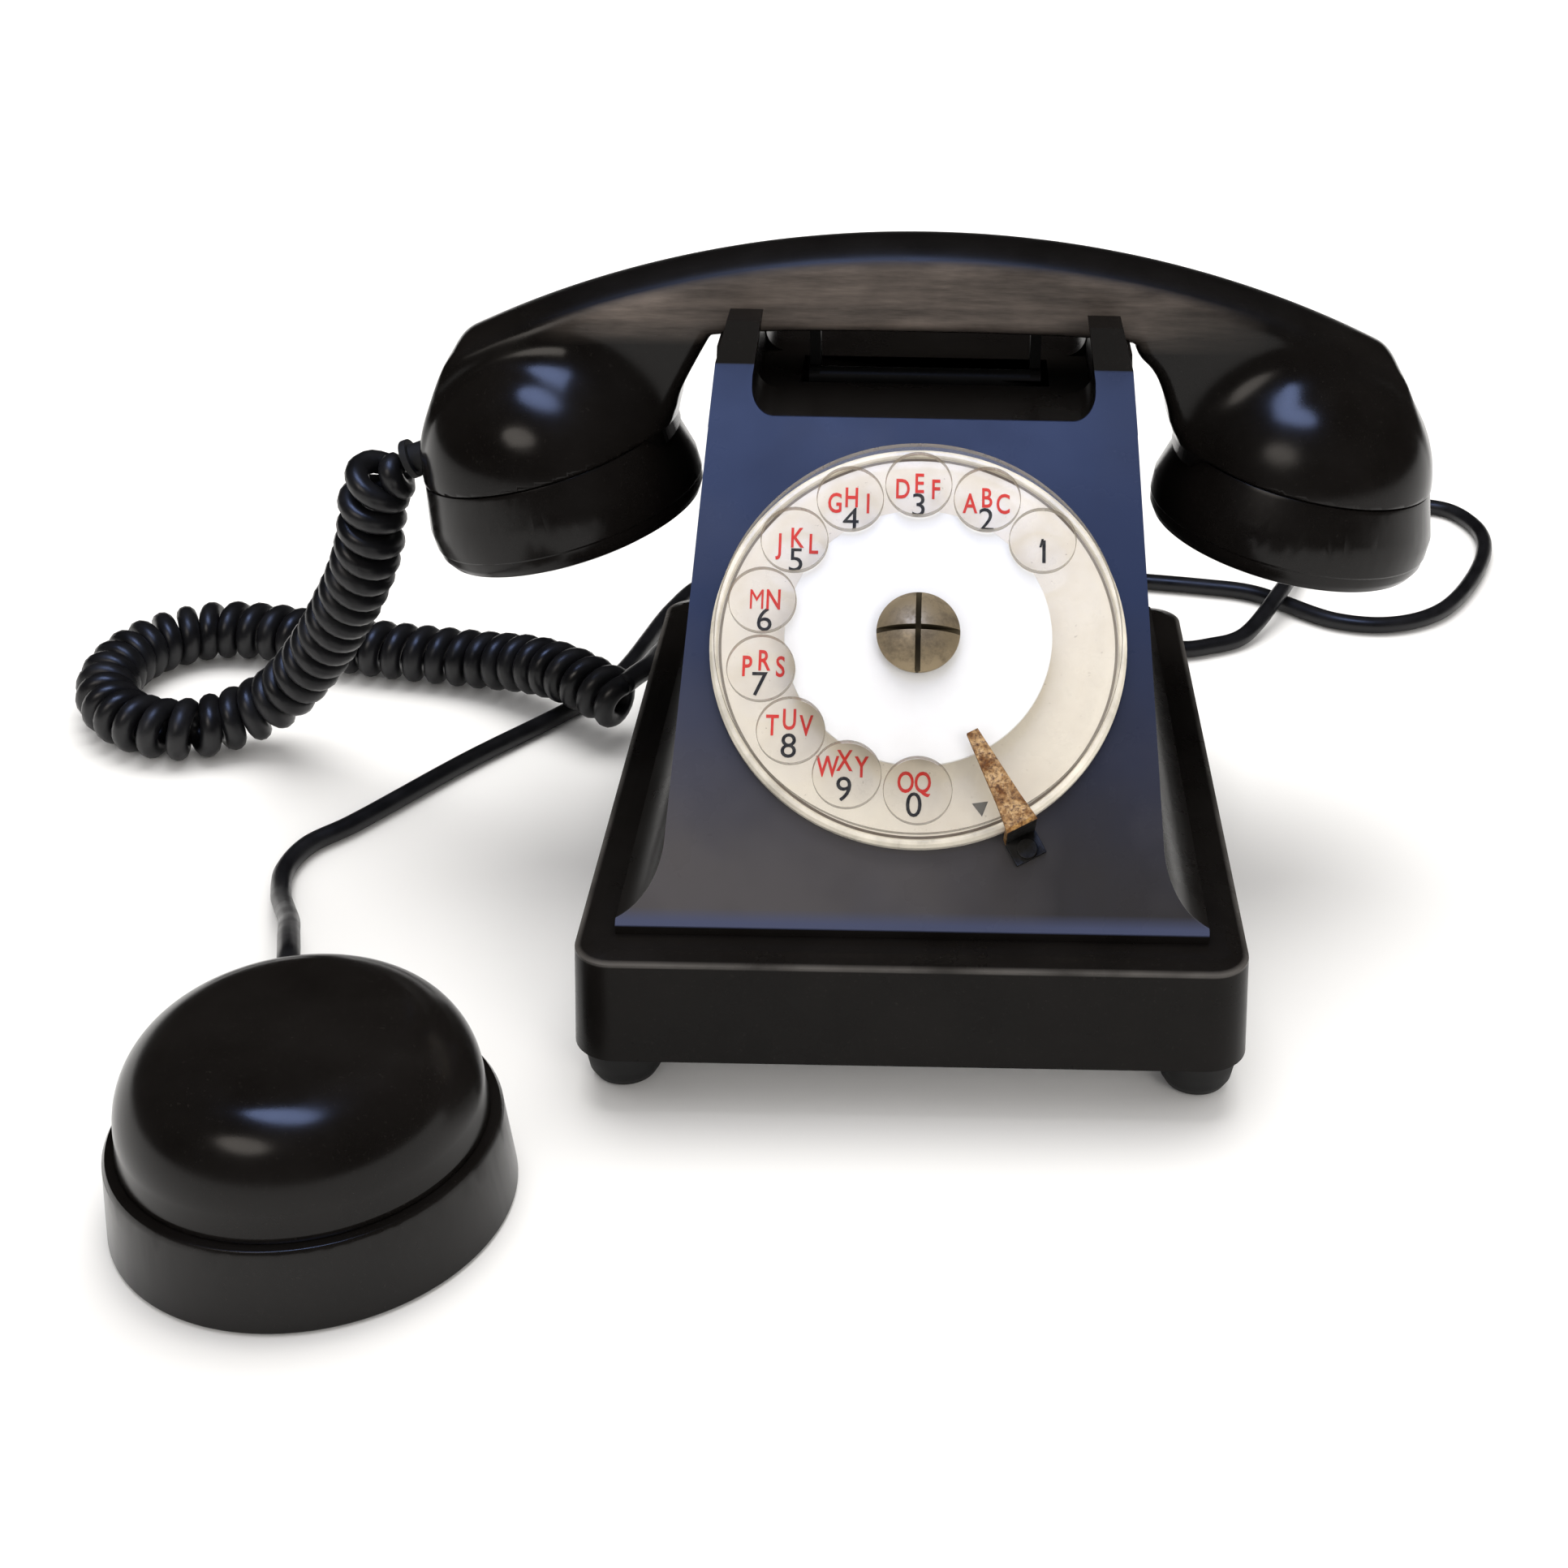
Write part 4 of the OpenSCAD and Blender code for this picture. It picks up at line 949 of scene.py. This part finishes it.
DIAL_NORMAL = -Vector(DIAL_JOINT["axis"]).normalized()
DIAL_UP = DIAL_NORMAL.cross(Vector((1, 0, 0)))
DIAL_PLACE = (Matrix.Translation(Vector(DIAL_JOINT["pos_m"]))
              @ Matrix((Vector((1, 0, 0)), DIAL_UP, DIAL_NORMAL)).transposed().to_4x4()
              @ Matrix.Scale(MM, 4))
FIRST_HOLE = 39.5
HOLE_PITCH = 360 / 14
HOLE_CIRCLE = 33
HOLE_RADIUS = 6.9
WHEEL_RADIUS = 42
WHEEL_FACE = 7.4
WHEEL_THICK = 2.0
WHEEL_EDGE = 0.35
WHEEL_BORE = 3.1
PLATE_FACE = 1.8
PRINT_LIFT = 0.05
# Share of a character's font size that a capital's height takes
CAPITAL = 0.70
LETTER_HEIGHT = 4.4
LETTER_WIDTH = 0.70
LETTER_GAP = 3.5
LETTER_RISE = 3.0
MIDDLE_LETTER_RISE = 1.3
DIGIT_HEIGHT = 5.2
DIGIT_WIDTH = 0.98
DIGIT_DROP = 1.9
# Stroke weights of the characters that don't take their group's own
WEIGHTS = {"M": 0.0, "/": 0.09}
LETTERS = ["", "ABC", "DEF", "GHI", "JKL", "MN", "PRS", "TUV", "WXY", "OQ"]
# Shifts of each hole's letters and digit from the usual place, right and up
LETTER_SHIFTS = [(0, 0), (0, -1.3), (0, -1.3), (0, -1.3), (0, -1.3), (0, -0.5), (0, -0.5),
                 (-0.8, 0), (-0.8, 0.4), (-0.8, 0.4)]
DIGIT_SHIFTS = [(0.6, 2), (0, 0), (0, 0), (0, 0), (0, 0), (0, 0), (-0.8, 0.6), (-0.8, 0.6),
                (-0.8, 0.6), (-0.8, 0.6)]


def hole_middle(i):
    turn = math.radians(FIRST_HOLE + i * HOLE_PITCH)
    return HOLE_CIRCLE * math.cos(turn), HOLE_CIRCLE * math.sin(turn)


def make_wheel():
    """Clear wheel with round-edged finger holes, made from circles filled as one outline."""
    outline = bpy.data.curves.new("finger_wheel_outline", "CURVE")
    outline.dimensions = "2D"
    outline.fill_mode = "BOTH"
    outline.extrude = WHEEL_THICK / 2 - WHEEL_EDGE
    outline.bevel_depth = WHEEL_EDGE
    outline.bevel_resolution = 3
    circles = [(0, 0, WHEEL_RADIUS - WHEEL_EDGE, 120), (0, 0, WHEEL_BORE + WHEEL_EDGE, 48)]
    circles += [(*hole_middle(i), HOLE_RADIUS + WHEEL_EDGE, 48) for i in range(len(LETTERS))]
    for x, y, radius, count in circles:
        spline = outline.splines.new("POLY")
        spline.points.add(count - 1)
        spline.use_cyclic_u = True
        for k, point in enumerate(spline.points):
            turn = 2 * math.pi * k / count
            point.co = (x + radius * math.cos(turn), y + radius * math.sin(turn), 0, 1)
    mesh = final_mesh(add_object("wheel_outline", outline))
    mesh.transform(Matrix.Translation((0, 0, WHEEL_FACE + WHEEL_THICK / 2)))
    mesh.transform(DIAL_PLACE)
    wheel = add_object("clear_finger_wheel", mesh)
    clean(wheel)
    wheel.data.materials.clear()
    wheel.data.materials.append(ACRYLIC)
    wheel.data.materials.append(ACRYLIC_EDGE_SHADE)
    # The hole walls and rim take the darker veil: painted shade in the wheel's edges.
    for face in wheel.data.polygons:
        face.use_smooth = False
        if abs(face.normal.dot(DIAL_NORMAL)) < 0.8:
            face.material_index = 1
            face.use_smooth = True
    return wheel


wheel = make_wheel()
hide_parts("finger_wheel")
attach(wheel, "dial")


def text_mesh(name, items, material, weight):
    """One mesh of upright characters; items are (character, x, y, height, width share)."""
    shape = bmesh.new()
    for character, x, y, height, width in items:
        font = bpy.data.curves.new("character", "FONT")
        font.body = character
        font.size = 1
        font.align_x = "CENTER"
        font.offset = WEIGHTS.get(character, weight)
        font.extrude = 0.02
        font.resolution_u = 4
        mesh = final_mesh(add_object("character", font))
        grow = height / CAPITAL
        mesh.transform(Matrix.Translation((x, y, PLATE_FACE + PRINT_LIFT))
                       @ Matrix.Diagonal((grow * width, grow, 1, 1))
                       @ Matrix.Translation((0, -CAPITAL / 2, 0)))
        shape.from_mesh(mesh)
        bpy.data.meshes.remove(mesh)
    made = bpy.data.meshes.new(name)
    shape.to_mesh(made)
    shape.free()
    made.transform(DIAL_PLACE)
    obj = add_object(name, made)
    obj.data.materials.append(material)
    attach(obj, "base")
    return obj


def plate_characters():
    """Letters and digits under the finger holes, with a short stroke as the flag of the 1."""
    letters, digits = [], []
    for i, group in enumerate(LETTERS):
        x, y = hole_middle(i)
        right, up = DIGIT_SHIFTS[i]
        digits.append((str((i + 1) % 10), x + right, y - DIGIT_DROP + up, DIGIT_HEIGHT, DIGIT_WIDTH))
        if i == 0:
            digits.append(("/", x + right - 0.52, y - DIGIT_DROP + up + 1.85, 1.5, 0.9))
        right, up = LETTER_SHIFTS[i]
        for k, letter in enumerate(group):
            off = k - (len(group) - 1) / 2
            rise = MIDDLE_LETTER_RISE if len(group) == 3 and k == 1 else 0
            letters.append((letter, x + right + off * LETTER_GAP, y + LETTER_RISE + up + rise,
                            LETTER_HEIGHT, LETTER_WIDTH))
    return letters, digits


letters, digits = plate_characters()
text_mesh("plate_letters", letters, RED_INK, 0.014)
text_mesh("plate_digits", digits, BLACK_INK, 0.0)


# Painted shadow line round the plate's edge, between these radii.
SHADOW_LINE_INSIDE = 41.0
SHADOW_LINE_OUTSIDE = 41.55
TRIANGLE = ((14.9, -33.4), (11.6, -33.9), (13.7, -36.6))


def make_plate_marks():
    """Painted shadow line round the plate's edge and the small black triangle beside the stop."""
    vertices, faces = [], []
    segments = 180
    section = ((SHADOW_LINE_INSIDE, 0.01), (SHADOW_LINE_INSIDE, 0.05), (SHADOW_LINE_OUTSIDE, 0.05), (SHADOW_LINE_OUTSIDE, 0.01))
    for k in range(segments):
        turn = 2 * math.pi * k / segments
        for radius, height in section:
            vertices.append(DIAL_PLACE @ Vector((radius * math.cos(turn), radius * math.sin(turn),
                                                 PLATE_FACE + height)))
    for k in range(segments):
        m = (k + 1) % segments
        for j in range(4):
            n = (j + 1) % 4
            faces.append((k * 4 + j, k * 4 + n, m * 4 + n, m * 4 + j))
    base = len(vertices)
    for height in (0.01, 0.06):
        for x, y in TRIANGLE:
            vertices.append(DIAL_PLACE @ Vector((x, y, PLATE_FACE + height)))
    faces += [(base + 2, base + 1, base), (base + 3, base + 4, base + 5)]
    for k in range(3):
        m = (k + 1) % 3
        faces.append((base + k, base + m, base + 3 + m, base + 3 + k))
    marks = new_object("plate_marks", vertices, faces)
    clean(marks)
    marks.data.shade_flat()
    return marks


marks = make_plate_marks()
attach(marks, "base")
# Painted shadow line; the triangle takes the black ink.
dress(marks, PAINTED_SHADOW_LINE)
marks.data.materials.append(BLACK_INK)
for face in marks.data.polygons:
    if len(face.vertices) == 3:
        face.material_index = 1


# ---- Tie round the coil ----

TIE_DIRECTION = math.radians(200)
TIE_HEIGHT = 5.1
TIE_STEPS = 40
# Half the band's width and height round the turns, and the section of its rubber
TIE_REACH = (7.55, 5.0)
TIE_SECTION = ((-2.6, 0.0), (-2.3, 0.45), (0.0, 0.55), (2.3, 0.45), (2.6, 0.0), (0.0, -0.1))


def squarish(value):
    """Turns the sine or cosine of a circle into that of a rounded square."""
    return math.copysign(abs(value) ** 0.45, value)


def make_tie():
    """Rubber band round the coil's turns, opposite the plug."""
    outward = Vector((math.cos(TIE_DIRECTION), math.sin(TIE_DIRECTION), 0))
    middle = at(*COIL_CENTRE, TIE_HEIGHT) + outward * COIL_RADII[1] * MM
    along = Vector((-math.sin(TIE_DIRECTION), math.cos(TIE_DIRECTION), 0))
    vertices, faces = [], []
    count = len(TIE_SECTION)
    for i in range(TIE_STEPS):
        turn = 2 * math.pi * i / TIE_STEPS
        for shift, lift in TIE_SECTION:
            x = (TIE_REACH[0] + lift) * squarish(math.cos(turn))
            z = max(0.05 - TIE_HEIGHT, (TIE_REACH[1] + lift) * squarish(math.sin(turn)))
            vertices.append(middle + outward * x * MM + Vector((0, 0, z * MM)) + along * shift * MM)
        faces += ring_faces(i * count, (i + 1) % TIE_STEPS * count, count)
    tie = new_object("coil_tie", vertices, faces)
    clean(tie)
    return tie


tie = make_tie()
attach(tie, "base")
dress(tie, RUBBER)


# ---- CAD nodes ----

# Material, width of the rounded edges in millimetres, and the nodes that take them
FINISHES = [
    (HOUSING_BLACK, 0.9, ["housing"]),
    (CAP_BLACK, 0.35, ["earpiece_cap", "mouthpiece_cap", "listener_cap"]),
    (HOOK_BLACK, 0.5, ["hook_bar"]),
    (RUBBER, 0.3, ["foot_front_left", "foot_front_right", "foot_rear_left", "foot_rear_right",
                   "handset_gland", "listener_gland", "handset_cord_gland",
                   "listener_cord_gland", "line_gland"]),
    (PLUG_BODY, 1.2, ["line_plug"]),
    (ZINC, 0.15, ["base_plate", "dial_case", "hook_bracket", "hook_pivot_pin", "ringer_frame",
                  "clapper", "dial_shaft", "governor_shaft", "governor_drum", "pulse_cam",
                  "foot_screws", "base_screws", "gong_screws", "listener_diaphragm",
                  "listener_capsule", "receiver_capsule"]),
    (SPRING, 0.05, ["return_spring"]),
    (BLACKENED, 0.15, ["finger_stop_screw"]),
    (RIM, 0.12, ["dial_bezel"]),
    (PLATE, 0.12, ["number_plate"]),
    (CARD, 0.15, ["wheel_disc"]),
    (NICKEL, 0.25, ["center_screw"]),
    (STOP, 0.22, ["finger_stop"]),
    (BRASS, 0.15, ["drive_gear", "governor_weights", "gong_left", "gong_right",
                   "terminal_screws", "plug_pins"]),
    (CONTACTS, 0.15, ["pulse_contacts", "hook_contacts", "terminal_block"]),
    (WINDING, 0.2, ["ringer_coils", "induction_coil"]),
    (CAN, 0.3, ["capacitor"]),
    (MICROPHONE, 0.2, ["microphone_capsule"]),
]
for finish, bevel, nodes in FINISHES:
    for node in nodes:
        refine(node, finish, bevel)


def paint_where(node, material, wanted):
    """Second material on the faces whose corners, in the dial's own frame, are all wanted."""
    mesh = NODES[node].data
    mesh.materials.append(material)
    to_dial = DIAL_PLACE.inverted() @ NODES[node].matrix_world
    places = [to_dial @ v.co for v in mesh.vertices]
    for face in mesh.polygons:
        if all(wanted(places[i]) for i in face.vertices):
            face.material_index = 1


STOP_ANGLE = math.radians(-62)
STOP_DIRECTION = Vector((math.cos(STOP_ANGLE), math.sin(STOP_ANGLE), 0))
STOP_FOOT_REACH = 45.8
SLOT_HALF_WIDTH = 0.6
# The finger stop is drawn black beyond this reach from the dial's middle, at its foot, in the screw's dark
# steel.
paint_where("finger_stop", BLACKENED, lambda p: p.dot(STOP_DIRECTION) > STOP_FOOT_REACH)
paint_where("center_screw", GRIME, lambda p: min(abs(p.x), abs(p.y)) < SLOT_HALF_WIDTH)


# ---- Floor and light ----

FLOOR_REACH = 6
PAPER = (0.86, 0.86, 0.86)
PAPER_LIGHT = (0.88, 0.88, 0.88)


def make_floor():
    corners = [(x * FLOOR_REACH, y * FLOOR_REACH, 0) for x, y in ((-1, -1), (1, -1), (1, 1), (-1, 1))]
    floor = new_object("floor", corners, [(0, 1, 2, 3)])
    s = Shader("floor_paper", PAPER, 0.9)
    s.set("Specular IOR Level", 0.1)
    grain = s.spread(s.noise(6, 3), 0.3, 0.7, 0, 1)
    s.color(s.mix(grain, PAPER, PAPER_LIGHT))
    floor.data.materials.append(s.material)


# Name, place, aim, size, power, colour, and the kind of light it gives. The
# diffuse ones light the surfaces and the glossy ones are what they mirror.
LIGHTS = [
    ("ceiling", (0, 0.62, 1.7), (0, 0.15, 0), (1.7, 1.5), 27, (1.0, 0.985, 0.96), "diffuse"),
    ("fill", (0.9, -1.4, 0.9), (0, 0, 0.05), (0.7, 0.7), 6, (1.0, 0.95, 0.88), "diffuse"),
    ("window", (-0.2, -0.36, 1.5), (0, 0, 0.05), (0.95, 0.45), 17, (0.42, 0.55, 1.0), "glossy"),
    ("room", (-0.7, -1.25, 1.15), (0, 0, 0.05), (0.9, 0.5), 6, (1.0, 0.92, 0.84), "glossy"),
]
ROOM_COLOR = (1.0, 0.98, 0.96, 1)
ROOM_STRENGTH = 0.85


def area_light(name, place, target, size, energy, color, kind):
    data = bpy.data.lights.new(name, "AREA")
    data.shape = "ELLIPSE"
    data.size, data.size_y = size
    data.energy = energy
    data.color = color
    light = add_object(name, data)
    light.location = place
    light.rotation_euler = (Vector(target) - Vector(place)).to_track_quat("-Z", "Y").to_euler()
    light.visible_diffuse = kind == "diffuse"
    light.visible_glossy = kind == "glossy"


def make_world():
    """Even pale light from all round, which glossy surfaces don't mirror."""
    world = bpy.data.worlds.new("soft_room")
    world.use_nodes = True
    background = world.node_tree.nodes["Background"]
    background.inputs["Color"].default_value = ROOM_COLOR
    background.inputs["Strength"].default_value = ROOM_STRENGTH
    world.cycles_visibility.glossy = False
    bpy.context.scene.world = world


make_floor()
for light in LIGHTS:
    area_light(*light)
make_world()
bpy.context.scene.view_settings.view_transform = "Standard"
